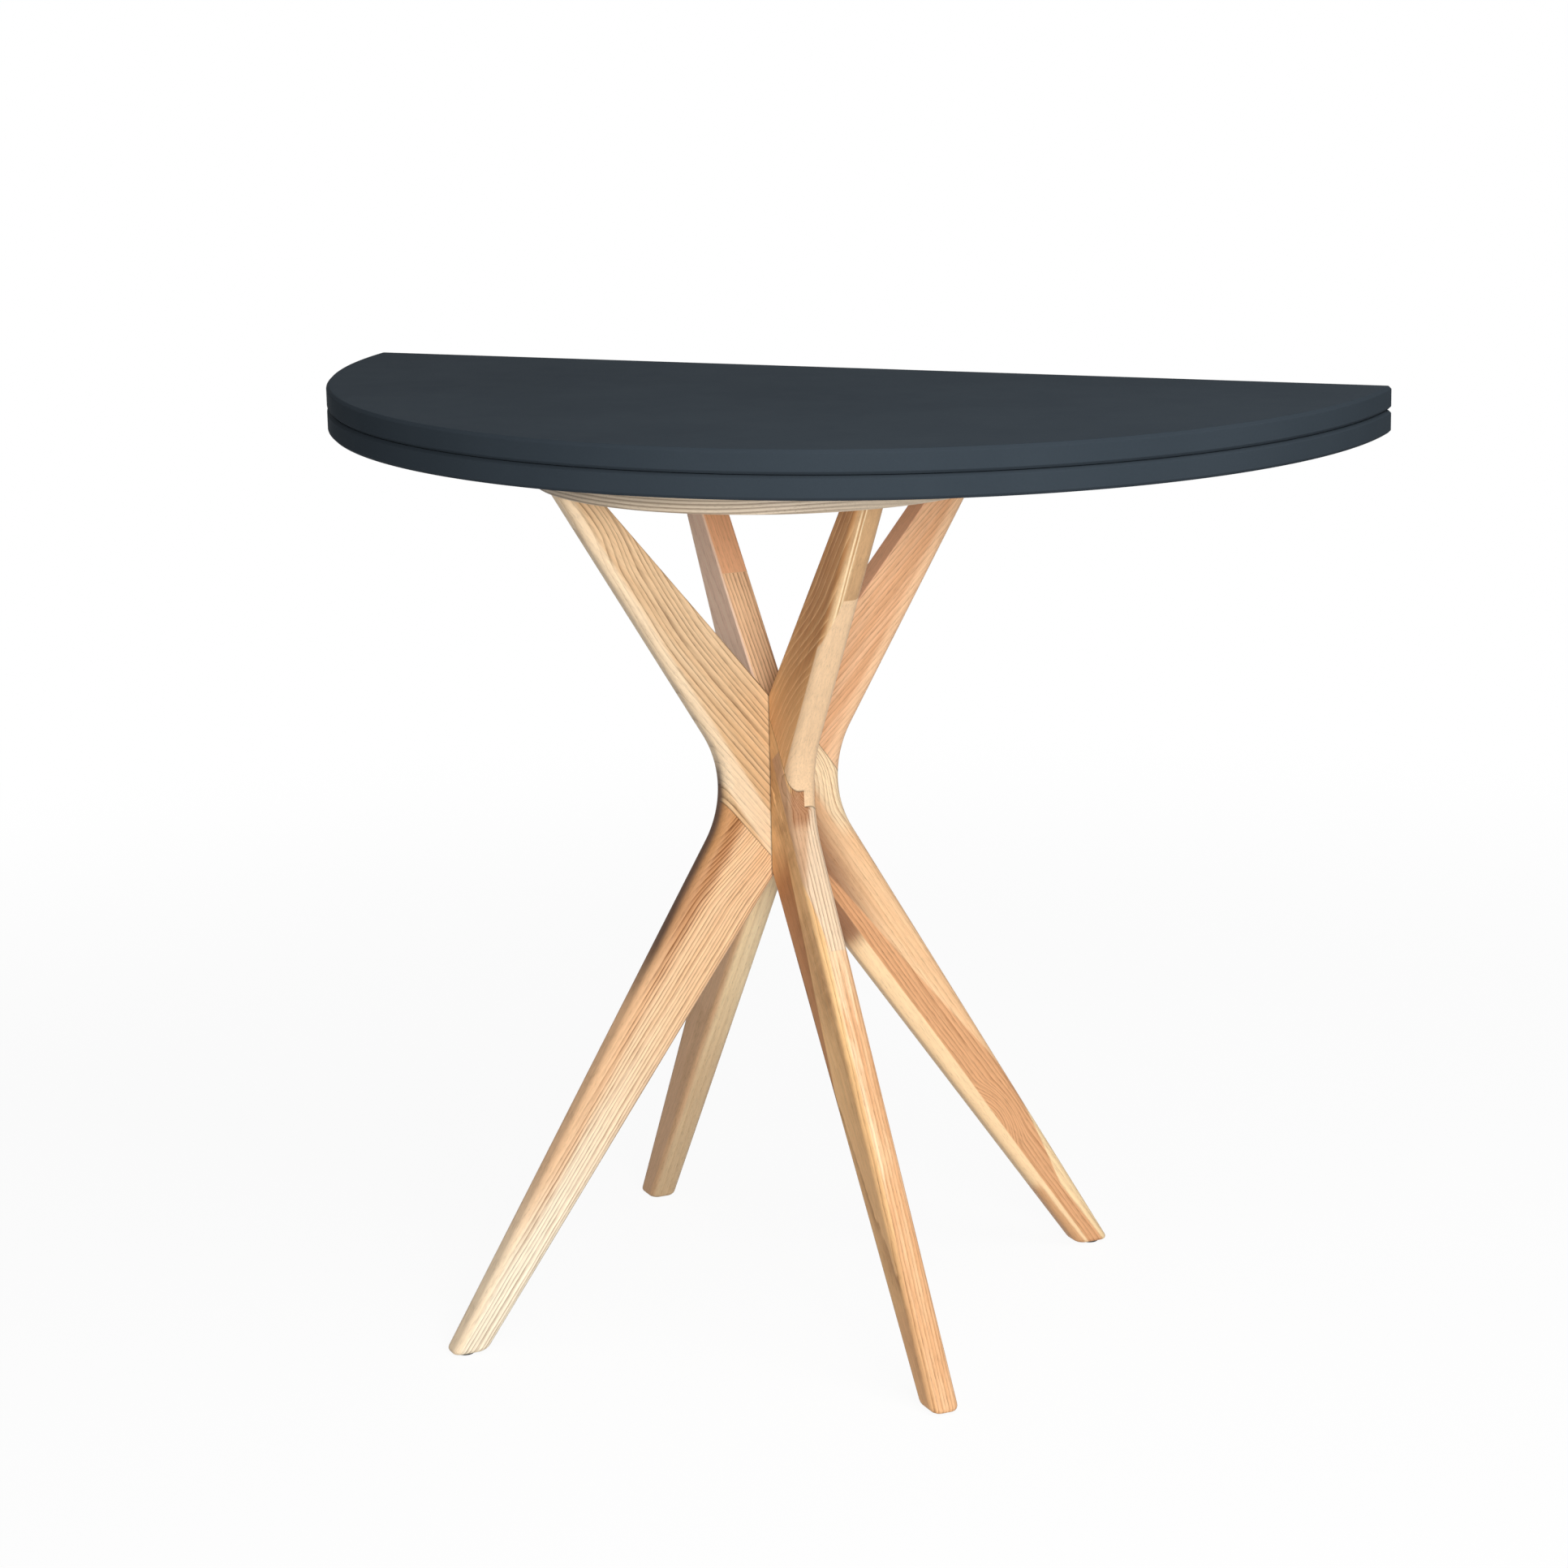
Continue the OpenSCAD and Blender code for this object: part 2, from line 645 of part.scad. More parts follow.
leg_front_left();
leg_front_right();
leg_back_right();
leg_back_left();
arm_front_left();
arm_front_right();
arm_back_right();
arm_back_left();
base_plate();
glide_pads();
floor_glides();
arm_screws();
hub_dowels();
lap_dowels();
pivot_insert();
pivot_bolt();
lower_thrust_washer();
upper_thrust_washer();
stop_pin();
lower_leaf();
pivot_plate();
pivot_plate_screws();
lower_hinge_flaps();
lower_hinge_screws();
hinge_pins();
upper_leaf();
upper_hinge_flaps();
upper_hinge_screws();
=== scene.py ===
"""Looks of a half-moon console table on four half-lapped ash legs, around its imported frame."""

import json
import logging
import math
from collections.abc import Callable, Iterable, Iterator
from contextlib import contextmanager
from dataclasses import dataclass, field
from enum import Enum
from functools import partial

import bmesh
import bpy
from mathutils import Matrix, Vector


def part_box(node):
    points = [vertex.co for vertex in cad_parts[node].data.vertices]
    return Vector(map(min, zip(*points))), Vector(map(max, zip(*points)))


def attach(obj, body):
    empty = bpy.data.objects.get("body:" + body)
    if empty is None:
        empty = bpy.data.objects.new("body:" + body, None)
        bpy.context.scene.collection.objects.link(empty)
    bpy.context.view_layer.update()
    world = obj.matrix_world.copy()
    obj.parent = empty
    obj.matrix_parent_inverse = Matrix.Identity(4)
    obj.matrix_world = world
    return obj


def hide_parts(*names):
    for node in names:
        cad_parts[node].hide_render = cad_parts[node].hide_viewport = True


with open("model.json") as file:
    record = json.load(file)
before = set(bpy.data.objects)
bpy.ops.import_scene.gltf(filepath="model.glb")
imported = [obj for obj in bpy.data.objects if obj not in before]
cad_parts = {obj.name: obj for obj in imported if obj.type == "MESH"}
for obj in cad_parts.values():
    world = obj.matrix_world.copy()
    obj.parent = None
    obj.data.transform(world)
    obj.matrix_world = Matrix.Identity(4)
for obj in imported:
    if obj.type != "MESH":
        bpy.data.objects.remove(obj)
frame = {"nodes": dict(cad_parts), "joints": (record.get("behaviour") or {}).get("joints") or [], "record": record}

LOG = logging.getLogger("console_table")
PHOTO_PIXELS = 1932
Colour = tuple[float, float, float, float]
Number = float | int
Term = "Value | float | int"
Piece = bpy.types.Object
Edge = bmesh.types.BMEdge
Socket = bpy.types.NodeSocket
Material = bpy.types.Material

CORNERS = {"front_left": 225, "front_right": 315, "back_right": 45, "back_left": 135}
X_WAY, Y_WAY, Z_WAY = (1, 0, 0), (0, 1, 0), (0, 0, 1)
RAYS = ("Camera", "Glossy", "Transmission")
GAP = 0.0001
PAST_FACE = 0.001


class Body(Enum):
    """The bodies that pieces ride on."""

    BASE = "base"
    TOP = "top"
    FOLDING_LEAF = "folding_leaf"


class Bar(Enum):
    """The two boards that are half-lapped into one leg."""

    ARM = "arm"
    LEG = "leg"


def srgb(*levels: Number) -> Colour:
    """Turns red, green and blue from 0 to 255 into a linear colour, by the curve of the sRGB standard."""
    shares = [level / 255 for level in levels]
    return *(share / 12.92 if share <= 0.04045 else ((share + 0.055) / 1.055) ** 2.4 for share in shares), 1.0


WHITE = srgb(255, 255, 255)


def operation(kind: str, swapped: bool = False) -> Callable[..., "Value"]:
    """Makes a method of Value that adds a Math node.

    Args:
        kind: The node's operation.
        swapped: Whether the other number comes first.

    Returns:
        The method.
    """
    def method(self: "Value", *others: Term) -> "Value":
        return self.bench.maths(kind, *others, self) if swapped else self.bench.maths(kind, self, *others)

    return method


class Value:
    """A socket of numbers, so that shader maths reads as an expression."""

    def __init__(self, bench: "ShaderBench", socket: Socket) -> None:
        """Keeps the socket and the bench that its nodes are added to."""
        self.bench = bench
        self.socket = socket

    __add__, __radd__ = operation("ADD"), operation("ADD", swapped=True)
    __sub__, __rsub__ = operation("SUBTRACT"), operation("SUBTRACT", swapped=True)
    __mul__, __rmul__ = operation("MULTIPLY"), operation("MULTIPLY", swapped=True)
    __truediv__, __pow__ = operation("DIVIDE"), operation("POWER")
    __abs__, fraction = operation("ABSOLUTE"), operation("FRACT")

    def rise(self, low: Number, high: Number) -> "Value":
        """Returns a smooth step from 0 at low to 1 at high."""
        inputs = {"Value": self, "From Min": low, "From Max": high}
        return self.bench.value("ShaderNodeMapRange", inputs, interpolation_type="SMOOTHSTEP", clamp=True)

    def fall(self, low: Number, high: Number) -> "Value":
        """Returns a smooth step from 1 at low to 0 at high."""
        return 1 - self.rise(low, high)


def length(first: Value, *others: Term) -> Value:
    """Returns the length of the arrow that has these parts."""
    return sum((part * part for part in others), first * first) ** 0.5


class ShaderBench:
    """A material's or world's node tree, and what adds nodes to it."""

    FACTOR, FIRST_COLOUR, SECOND_COLOUR, MIXED_COLOUR = 0, 6, 7, 2

    def __init__(self, name: str, world: bool = False) -> None:
        """Makes an empty material or world with its output.

        Args:
            name: Its name.
            world: Whether it is a world.
        """
        self.material = (bpy.data.worlds if world else bpy.data.materials).new(name)
        self.material.use_nodes = True
        self.tree = self.material.node_tree
        self.tree.nodes.clear()
        self.output = self.tree.nodes.new("ShaderNodeOutputWorld" if world else "ShaderNodeOutputMaterial")
        self.place = self.node("ShaderNodeTexCoord", {}, "Object")

    def node(self, kind: str, inputs: dict, output: str | int = 0, **settings: object) -> Socket:
        """Adds a node.

        Args:
            kind: The node's type.
            inputs: Values, numbers, colours or sockets by input name or index.
            output: The name or index of the output that is wanted.
            settings: Attributes that are set first.

        Returns:
            The output's socket.
        """
        made = self.tree.nodes.new(kind)
        for name, value in settings.items():
            setattr(made, name, value)
        for name, value in inputs.items():
            if isinstance(value, Value):
                value = value.socket
            if isinstance(value, Socket):
                self.tree.links.new(value, made.inputs[name])
            else:
                made.inputs[name].default_value = value
        return made.outputs[output]

    def value(self, *terms: object, **settings: object) -> Value:
        """Adds a node, as node does, and returns its output as a value."""
        return Value(self, self.node(*terms, **settings))

    def maths(self, kind: str, *terms: Term) -> Value:
        """Adds a Math node and returns its result."""
        return self.value("ShaderNodeMath", dict(enumerate(terms)), operation=kind)

    def along(self, direction: Iterable[float]) -> Value:
        """Returns how far a point lies along a direction of length 1 from the origin, in metres."""
        inputs = {0: self.place, 1: tuple(direction)}
        return self.value("ShaderNodeVectorMath", inputs, "Value", operation="DOT_PRODUCT")

    def noise(self, place: Socket, scale: float = 1.0, detail: float = 2.0, rough: float = 0.5) -> Value:
        """Returns noise around 0.5, read at a place."""
        return self.value("ShaderNodeTexNoise",
                          {"Vector": place, "Scale": scale, "Detail": detail, "Roughness": rough})

    def blend(self, share: Term, first: object, second: object, kind: str = "MIX") -> Socket:
        """Returns a mix of two colours or their sockets, by the share of the second."""
        inputs = {self.FACTOR: share, self.FIRST_COLOUR: first, self.SECOND_COLOUR: second}
        return self.node("ShaderNodeMix", inputs, self.MIXED_COLOUR, data_type="RGBA", blend_type=kind)

    def tinted(self, colour: object, level: Value) -> Socket:
        """Multiplies all channels of a colour or its socket by a level."""
        grey = self.node("ShaderNodeCombineColor", {0: level, 1: level, 2: level})
        return self.blend(1.0, colour, grey, "MULTIPLY")

    def relief(self, height: Value, depth: float) -> Socket:
        """Returns the bumped normal of a height from 0 to 1, where 1 is as high as depth says."""
        return self.node("ShaderNodeBump", {"Height": height, "Distance": depth, "Strength": 1.0})

    def show(self, shader: Socket) -> Material:
        """Links a shader to the output and returns the material."""
        self.tree.links.new(shader, self.output.inputs["Surface"])
        return self.material

    def finish(self, inputs: dict) -> Material:
        """Adds the surface shader with its inputs and returns the material."""
        return self.show(self.node("ShaderNodeBsdfPrincipled", inputs))

    def seen(self) -> Value:
        """Returns 1 for rays that show the background to the camera or in a mirror, else 0."""
        camera, *mirrored = (self.value("ShaderNodeLightPath", {}, f"Is {kind} Ray") for kind in RAYS)
        return self.maths("MAXIMUM", camera, self.maths("MAXIMUM", *mirrored))


@dataclass(frozen=True)
class Figure:
    """Noise with its own scale in each of three directions."""

    scale: tuple[float, float, float]
    detail: float = 2.0
    rough: float = 0.5

    MIDDLE, SWING = 0.5, 4

    def read(self, bench: ShaderBench, place: Iterable[Value], shift: tuple = (0, 0, 0)) -> Value:
        """Returns the noise at a place, with a shift that makes it differ from piece to piece."""
        parts = dict(enumerate(way * size + step for way, size, step in zip(place, self.scale, shift)))
        return bench.noise(bench.node("ShaderNodeCombineXYZ", parts), 1.0, self.detail, self.rough)

    def waver(self, bench: ShaderBench, place: Iterable[Value], shift: tuple = (0, 0, 0)) -> Value:
        """Returns the noise brought to about -1 to 1."""
        return (self.read(bench, place, shift) - self.MIDDLE) * self.SWING


@dataclass(frozen=True)
class Limb:
    """The arm or the lower leg in the leg's plane. Slopes are run over rise, below 0 for the lower leg."""

    far_out: float
    far_up: float
    far_width: float
    crotch: float
    board: float
    waist_out: float = 0.0365
    waist_up: float = 0.439

    @property
    def out_slope(self) -> float:
        """Slope of the outer edge."""
        return (self.far_out - self.waist_out) / (self.far_up - self.waist_up)

    @property
    def in_slope(self) -> float:
        """Slope of the inner edge."""
        return (self.far_out - self.far_width) / (self.far_up - self.crotch)

    @property
    def shoulder(self) -> float:
        """Height where the far edge line of the board meets the axis."""
        return self.crotch - self.board * math.hypot(1, self.in_slope) / self.in_slope

    @property
    def away(self) -> int:
        """Sign of the grain's direction away from the knee."""
        return 1 if self.far_up > self.waist_up else -1


@dataclass(frozen=True)
class LegPlane:
    """Sizes of one leg in its own plane: out from the axis, across, and up."""

    arm: Limb = field(default_factory=lambda: Limb(
        far_out=0.186, far_up=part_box("base_plate")[0].z, far_width=0.031, crotch=0.500, board=0.085))
    leg: Limb = Limb(far_out=0.300, far_up=0.0, far_width=0.0305, crotch=0.375, board=0.080)
    sole: float = field(default_factory=lambda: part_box("leg_front_left")[0].z)
    thickness: float = 0.024
    hollow: float = 0.085
    hollow_steps: int = 26
    edge_round: float = 0.0078
    arm_inner_round: float = 0.0015
    sole_round: float = 0.005

    def limb(self, bar: Bar) -> Limb:
        """Returns the arm or the lower leg."""
        return self.arm if bar is Bar.ARM else self.leg

    def inner(self, up: float) -> float:
        """Returns how far out the inner edges are at a height."""
        return max(limb.in_slope * (up - limb.crotch) for limb in (self.arm, self.leg))

    def outline(self) -> list[tuple[float, float]]:
        """Lists points of the outer edge from the top down.

        Returns:
            Pairs of distance from the axis and height.
        """
        leg, arm, hollow = self.leg, self.arm, self.hollow
        leg_lean, arm_lean = -math.atan(leg.out_slope), math.atan(arm.out_slope)
        tangent = hollow * math.tan((leg_lean + arm_lean) / 2)
        centre_out = leg.waist_out + tangent * math.sin(leg_lean) + hollow * math.cos(leg_lean)
        centre_up = leg.waist_up - tangent * math.cos(leg_lean) + hollow * math.sin(leg_lean)
        points = [(arm.far_out, arm.far_up)]
        for step in range(self.hollow_steps + 1):
            turn = (leg_lean + arm_lean) * step / self.hollow_steps - arm_lean
            points.append((centre_out - hollow * math.cos(turn), centre_up - hollow * math.sin(turn)))
        points.append((leg.waist_out - leg.out_slope * (leg.waist_up - self.sole), self.sole))
        return points


@dataclass(frozen=True)
class Board:
    """One board's own directions, which its grain follows."""

    plane: LegPlane
    bar: Bar
    azimuth: float

    def point(self, out: float, up: float) -> Vector:
        """Returns the point of the leg's plane at a distance from the axis and a height."""
        turn = math.radians(self.azimuth)
        return Vector((out * math.cos(turn), out * math.sin(turn), up))

    def turned(self, out: float, up: float) -> Vector:
        """Returns the direction of length 1 that goes out and up by these shares."""
        return self.point(out, up) / math.hypot(out, up)

    def ways(self, bench: ShaderBench) -> dict[str, Value]:
        """Measures where a point lies in the board.

        Args:
            bench: Where the nodes go.

        Returns:
            Its reach from the knee along the grain, its distance across from the inner edge, its
            distance through from the middle of the thickness, and its depth under the outer edge.
        """
        limb, turn = self.plane.limb(self.bar), math.radians(self.azimuth)
        waist, crotch = self.point(limb.waist_out, limb.waist_up), self.point(0, limb.crotch)
        lengthwise, crosswise = self.turned(limb.in_slope, 1), self.turned(1, -limb.in_slope)
        outwards = self.turned(1, -limb.out_slope)
        return {
            "reach": (bench.along(lengthwise) - lengthwise.dot(waist)) * limb.away,
            "across": bench.along(crosswise) - crosswise.dot(crotch),
            "through": bench.along((-math.sin(turn), math.cos(turn), 0)),
            "depth": outwards.dot(waist) - bench.along(outwards),
        }


@dataclass(frozen=True)
class Span:
    """A range across a weighted mix of a board's own distances."""

    start: float
    end: float
    soft: float = 0.002
    reach: float = 0.0
    across: float = 0.0
    through: float = 0.0
    depth: float = 0.0
    wander: float = 0.0


@dataclass(frozen=True)
class Patch:
    """Other-coloured wood where all its spans meet: sapwood, heartwood, a streak or a glued lamella, and on a few
    boards painted light or painted shade.
    """

    colour: Colour
    spans: tuple[Span, ...]
    strength: float = 1.0
    lines: float = 1.0
    shift: float = 0.0

    WANDER = Figure((9, 26, 26), 4)

    def mask(self, bench: ShaderBench, ways: dict[str, Value], number: int) -> Value:
        """Multiplies the patch's spans.

        Args:
            bench: Where the nodes go.
            ways: The board's four distances by name.
            number: The patch's number, which seeds its wandering edge.

        Returns:
            The mask, from 0 to 1.
        """
        mask: Value | Number = 1
        for span in self.spans:
            where: Value | Number = 0
            for way, distance in ways.items():
                weight = getattr(span, way)
                if weight:
                    where = where + distance * weight
            if span.wander:
                place = (ways["reach"], ways["across"], ways["through"])
                where = where + self.WANDER.waver(bench, place, (0, number, 0)) * span.wander
            mask = where.rise(span.start - span.soft, span.start + span.soft) * mask
            mask = mask * where.fall(span.end - span.soft, span.end + span.soft)
        return mask


@dataclass(frozen=True)
class Swirl:
    """A place where the growth rings bulge, which draws arches or ovals on the face."""

    reach: float
    across: float
    radius: float
    height: float
    stretch: float = 1.0
    through: float = 0.0
    thick: float = 0.0


@dataclass(frozen=True)
class Bow:
    """A place along the board where all the lines swing from one slant to the opposite one."""

    reach: float
    width: float
    slant: float


@dataclass(frozen=True)
class Oil:
    """How strongly fibre, pores and dark lines show in the tone, gloss and relief of oiled ash."""

    tone: float = 0.77
    fibre_tone: float = 0.57
    pore_tone: float = 0.28
    rough: float = 0.46
    pore_rough: float = 0.18
    line_rough: float = 0.06
    pore_depth: float = 0.7
    line_depth: float = 0.3
    relief: float = 0.00006
    gloss: float = 0.12

    def finish(self, bench: ShaderBench, colour: Socket, lines: Value, pores: Value,
               fibre: Value) -> Material:
        """Puts fibre and pores into a colour and returns the finished material."""
        tone = self.tone + fibre * self.fibre_tone - pores * self.pore_tone
        return bench.finish({
            "Base Color": bench.tinted(colour, tone),
            "Roughness": self.rough + pores * self.pore_rough + lines * self.line_rough,
            "Normal": bench.relief(1 - pores * self.pore_depth - lines * self.line_depth, self.relief),
            "Specular IOR Level": self.gloss,
        })


@dataclass(frozen=True)
class Ash:
    """Oiled ash with its growth rings, pores and patches."""

    slot: str
    light: Colour
    second: Colour
    line: Colour
    seed: float
    spacing: float = 0.0055
    pith_across: float = 0.6
    pith_through: float = 0.0
    taper: float = 0.0
    line_strength: float = 0.75
    sharp: float = 3.4
    warp: float = 0.002
    bow: Bow = Bow(reach=0.0, width=0.1, slant=0.0)
    tone_width: float = 0.012
    tone_strength: float = 0.6
    patches: tuple[Patch, ...] = ()
    swirls: tuple[Swirl, ...] = ()

    TONE_RANGE = (0.36, 0.64)
    SLOW = Figure((2.5, 9, 9))
    QUICK = Figure((26, 80, 80), 4, 0.6)
    QUICK_SHARE = 0.2
    UNEVEN = Figure((0.37, 0, 0))
    UNEVEN_RINGS = 2.2
    LINE_ONSET = 0.05
    LINE_CORE = 0.85
    BREAKS = Figure((30, 1.3, 0), 4, 0.6)
    BREAK_RANGE = (0.35, 0.6)
    UNBROKEN = 0.55
    SPECKS = Figure((130, 1300, 1300), 2, 0.6)
    SPECK_RANGE = (0.5, 0.68)
    STRAY_PORES = 0.4
    FIBRES = Figure((22, 480, 480), 6, 0.75)
    OIL = Oil()
    SHOULDER_LINE = (0.0001, 0.0008)
    MITRE_LINE = (0.0003, 0.0014)
    JOINT_DARK = 0.5

    def material(self, name: str, board: Board) -> Material:
        """Makes the material for one board.

        Args:
            name: The material's name.
            board: The board's directions.

        Returns:
            The material.
        """
        bench = ShaderBench(name)
        ways = board.ways(bench)
        masks = [patch.mask(bench, ways, number) for number, patch in enumerate(self.patches)]
        reach, shifted, through = ways["reach"], ways["across"], ways["through"]
        for patch, mask in zip(self.patches, masks):
            if patch.shift:
                shifted = shifted + mask * patch.shift
        lines, pores, fibre = self.grain(bench, reach, shifted, through)
        tones = Figure((3, 1 / self.tone_width, 1 / self.tone_width), 3)
        tone = tones.read(bench, (reach, shifted, through), (0, 0, self.seed)).rise(*self.TONE_RANGE)
        colour = bench.blend(tone * self.tone_strength, self.light, self.second)
        for patch, mask in zip(self.patches, masks):
            colour = bench.blend(mask * patch.strength, colour, patch.colour)
            lines = lines * (1 - mask * (1 - patch.lines))
        colour = bench.blend(lines * self.line_strength, colour, self.line)
        colour = bench.tinted(colour, 1 - self.joint_shade(bench, board, through) * self.JOINT_DARK)
        return self.OIL.finish(bench, colour, lines, pores, fibre)

    def grain(self, bench: ShaderBench, reach: Value, across: Value, through: Value) -> tuple[Value, ...]:
        """Draws the growth rings, the pores along them and the fibre.

        Args:
            bench: Where the nodes go.
            reach: Distance from the knee along the grain.
            across: Distance from the inner edge.
            through: Distance from the middle of the thickness.

        Returns:
            The dark lines, the pores and the fibre, each from 0 to 1.
        """
        place, seeded = (reach, across, through), (0, 0, self.seed)
        ring = length(across - self.pith_across, through - self.pith_through) + reach * self.taper
        ring = ring + length(reach - self.bow.reach, self.bow.width) * self.bow.slant
        ring = ring + self.SLOW.waver(bench, place, seeded) * self.warp
        ring = ring + self.QUICK.waver(bench, place, seeded) * (self.warp * self.QUICK_SHARE)
        for swirl in self.swirls:
            far = length((reach - swirl.reach) / swirl.stretch, across - swirl.across,
                         (through - swirl.through) * swirl.thick)
            ring = ring + far.fall(0, swirl.radius) * swirl.height
        count = ring / self.spacing
        uneven = self.UNEVEN.read(bench, (count, across, through), (0, self.seed, 0))
        phase = (count + uneven * self.UNEVEN_RINGS).fraction()
        core = (1 - phase) ** self.sharp * phase.rise(0.0, self.LINE_ONSET)
        lines = core * self.LINE_CORE + (1 - phase) * (1 - self.LINE_CORE)
        broken = self.BREAKS.read(bench, (reach, count, through), seeded).rise(*self.BREAK_RANGE)
        lines = lines * (self.UNBROKEN + broken * (1 - self.UNBROKEN))
        pores = self.SPECKS.read(bench, place).rise(*self.SPECK_RANGE)
        pores = pores * (self.STRAY_PORES + lines * (1 - self.STRAY_PORES))
        return lines, pores, self.FIBRES.read(bench, place, seeded)

    def joint_shade(self, bench: ShaderBench, board: Board, through: Value) -> Value:
        """Darkens the wood along the shoulders of the half-lap and the mitre at the axis.

        Args:
            bench: Where the nodes go.
            board: The board's directions.
            through: Distance from the middle of the thickness.

        Returns:
            The shade, from 0 to 1.
        """
        plane, thin = board.plane, self.SHOULDER_LINE[0]
        shades = []
        for limb, side in ((plane.arm, through.rise(-thin, thin)), (plane.leg, through.fall(-thin, thin))):
            normal = board.turned(1, -limb.in_slope)
            far = abs(bench.along(normal) - normal.z * limb.shoulder)
            shades.append(far.fall(*self.SHOULDER_LINE) * side)
        mitre = (bench.along(board.turned(1, 0)) - abs(through)).fall(*self.MITRE_LINE)
        return shades[0] + shades[1] + mitre * (1 - shades[0]) * (1 - shades[1])


@dataclass(frozen=True)
class PlateAsh:
    """Solid ash of the round plate, whose rings run as stripes round its edge."""

    light: Colour = srgb(218, 199, 174)
    line: Colour = srgb(136, 116, 94)
    LINE_STRENGTH = 0.75
    SPACING = 0.0031
    FLAT_AT = -0.15
    BOW = 1.5
    SLOPE = 0.011
    WARP = 0.00125
    SLOW = Figure((5, 14, 24))
    UNEVEN = Figure((0.6, 0, 0), 1)
    UNEVEN_RINGS = 1.2
    LINE_RISE = (0.2, 0.75)
    LINE_FALL = (0.8, 1.0)
    END_GRAIN = (0.09, 0.15)
    END_PALENESS = 0.75
    FIBRES = Figure((18, 160, 420), 4, 0.65)
    SPECKS = Figure((160, 1200, 1200), 1)
    SPECK_RANGE = (0.56, 0.72)
    OIL = Oil(tone=0.88, fibre_tone=0.24, pore_tone=0.14, rough=0.52, pore_rough=0.15, line_rough=0.0,
              pore_depth=0.6, relief=0.00012, gloss=0.5)

    def material(self, name: str, middle: float) -> Material:
        """Makes the material.

        Args:
            name: The material's name.
            middle: Height of the plate's middle.

        Returns:
            The material.
        """
        bench = ShaderBench(name)
        place = out, back, up = [bench.along(axis) for axis in (X_WAY, Y_WAY, Z_WAY)]
        away = back - self.FLAT_AT
        ring = up - middle + away * away * self.BOW - out * self.SLOPE
        ring = ring + self.SLOW.waver(bench, place) * self.WARP
        count = ring / self.SPACING
        phase = (count + self.UNEVEN.read(bench, (count, back, up)) * self.UNEVEN_RINGS).fraction()
        lines = phase.rise(*self.LINE_RISE) * phase.fall(*self.LINE_FALL)
        lines = lines * (1 - out.rise(*self.END_GRAIN) * self.END_PALENESS)
        pores = self.SPECKS.read(bench, place).rise(*self.SPECK_RANGE)
        colour = bench.blend(lines * self.LINE_STRENGTH, self.light, self.line)
        return self.OIL.finish(bench, colour, lines, pores, self.FIBRES.read(bench, place))


@dataclass(frozen=True)
class Lacquer:
    """Sprayed satin lacquer with a faint orange peel. Its noises are scale, detail and roughness."""

    colour: Colour = srgb(55, 63, 70)
    deep: Colour = srgb(52, 60, 67)
    CLOUD = (7.0, 3.0)
    CLOUD_RANGE = (0.3, 0.7)
    PEEL = (520.0, 2.0)
    PEEL_DEPTH = 0.00003
    PEEL_TONE = 0.08
    RUB = (38.0, 4.0, 0.6)
    ROUGH = 0.5
    RUB_ROUGH = 0.1
    GLOSS = 0.002

    def material(self, name: str) -> Material:
        """Makes the material.

        Args:
            name: The material's name.

        Returns:
            The material.
        """
        bench = ShaderBench(name)
        cloud, peel, rub = (bench.noise(bench.place, *figure) for figure in (self.CLOUD, self.PEEL, self.RUB))
        colour = bench.blend(cloud.rise(*self.CLOUD_RANGE), self.deep, self.colour)
        return bench.finish({
            "Base Color": bench.tinted(colour, 1 - self.PEEL_TONE / 2 + peel * self.PEEL_TONE),
            "Roughness": self.ROUGH + rub * self.RUB_ROUGH,
            "Normal": bench.relief(peel, self.PEEL_DEPTH),
            "Specular IOR Level": self.GLOSS,
        })


@dataclass(frozen=True)
class Metal:
    """Plated or solid metal with fine draw marks and slight tarnish."""

    colour: Colour
    tarnish: Colour
    rough: float
    MARKS = Figure((60, 2500, 2500))
    MARK_ROUGH = 0.16
    MARK_DEPTH = 0.00001
    STAIN = (160.0, 4.0, 0.6)
    STAIN_RANGE = (0.48, 0.75)
    STAIN_ROUGH = 0.06

    def material(self, name: str) -> Material:
        """Makes the material.

        Args:
            name: The material's name.

        Returns:
            The material.
        """
        bench = ShaderBench(name)
        marks = self.MARKS.read(bench, [bench.along(axis) for axis in (X_WAY, Y_WAY, Z_WAY)])
        stain = bench.noise(bench.place, *self.STAIN)
        return bench.finish({
            "Base Color": bench.blend(stain.rise(*self.STAIN_RANGE), self.colour, self.tarnish),
            "Metallic": 1.0,
            "Roughness": self.rough + marks * self.MARK_ROUGH + stain * self.STAIN_ROUGH,
            "Normal": bench.relief(marks, self.MARK_DEPTH),
        })


@dataclass(frozen=True)
class Matt:
    """Felt, nylon or plain wood of the small parts, with its fine texture."""

    colour: Colour
    dark: Colour
    grain: float
    depth: float
    rough: float
    DETAIL = (5.0, 0.7)
    FUZZ_RANGE = (0.35, 0.7)
    FUZZ_ROUGH = 0.1

    def material(self, name: str) -> Material:
        """Makes the material.

        Args:
            name: The material's name.

        Returns:
            The material.
        """
        bench = ShaderBench(name)
        fuzz = bench.noise(bench.place, self.grain, *self.DETAIL)
        return bench.finish({
            "Base Color": bench.blend(fuzz.rise(*self.FUZZ_RANGE), self.dark, self.colour),
            "Roughness": self.rough + fuzz * self.FUZZ_ROUGH,
            "Normal": bench.relief(fuzz, self.depth),
        })


def dress(piece: Piece, material: Material) -> None:
    """Gives a piece one material.

    Args:
        piece: The piece, new or from the frame.
        material: The material.
    """
    if not piece.material_slots:
        piece.data.materials.append(material)
    for slot in piece.material_slots:
        slot.material = material


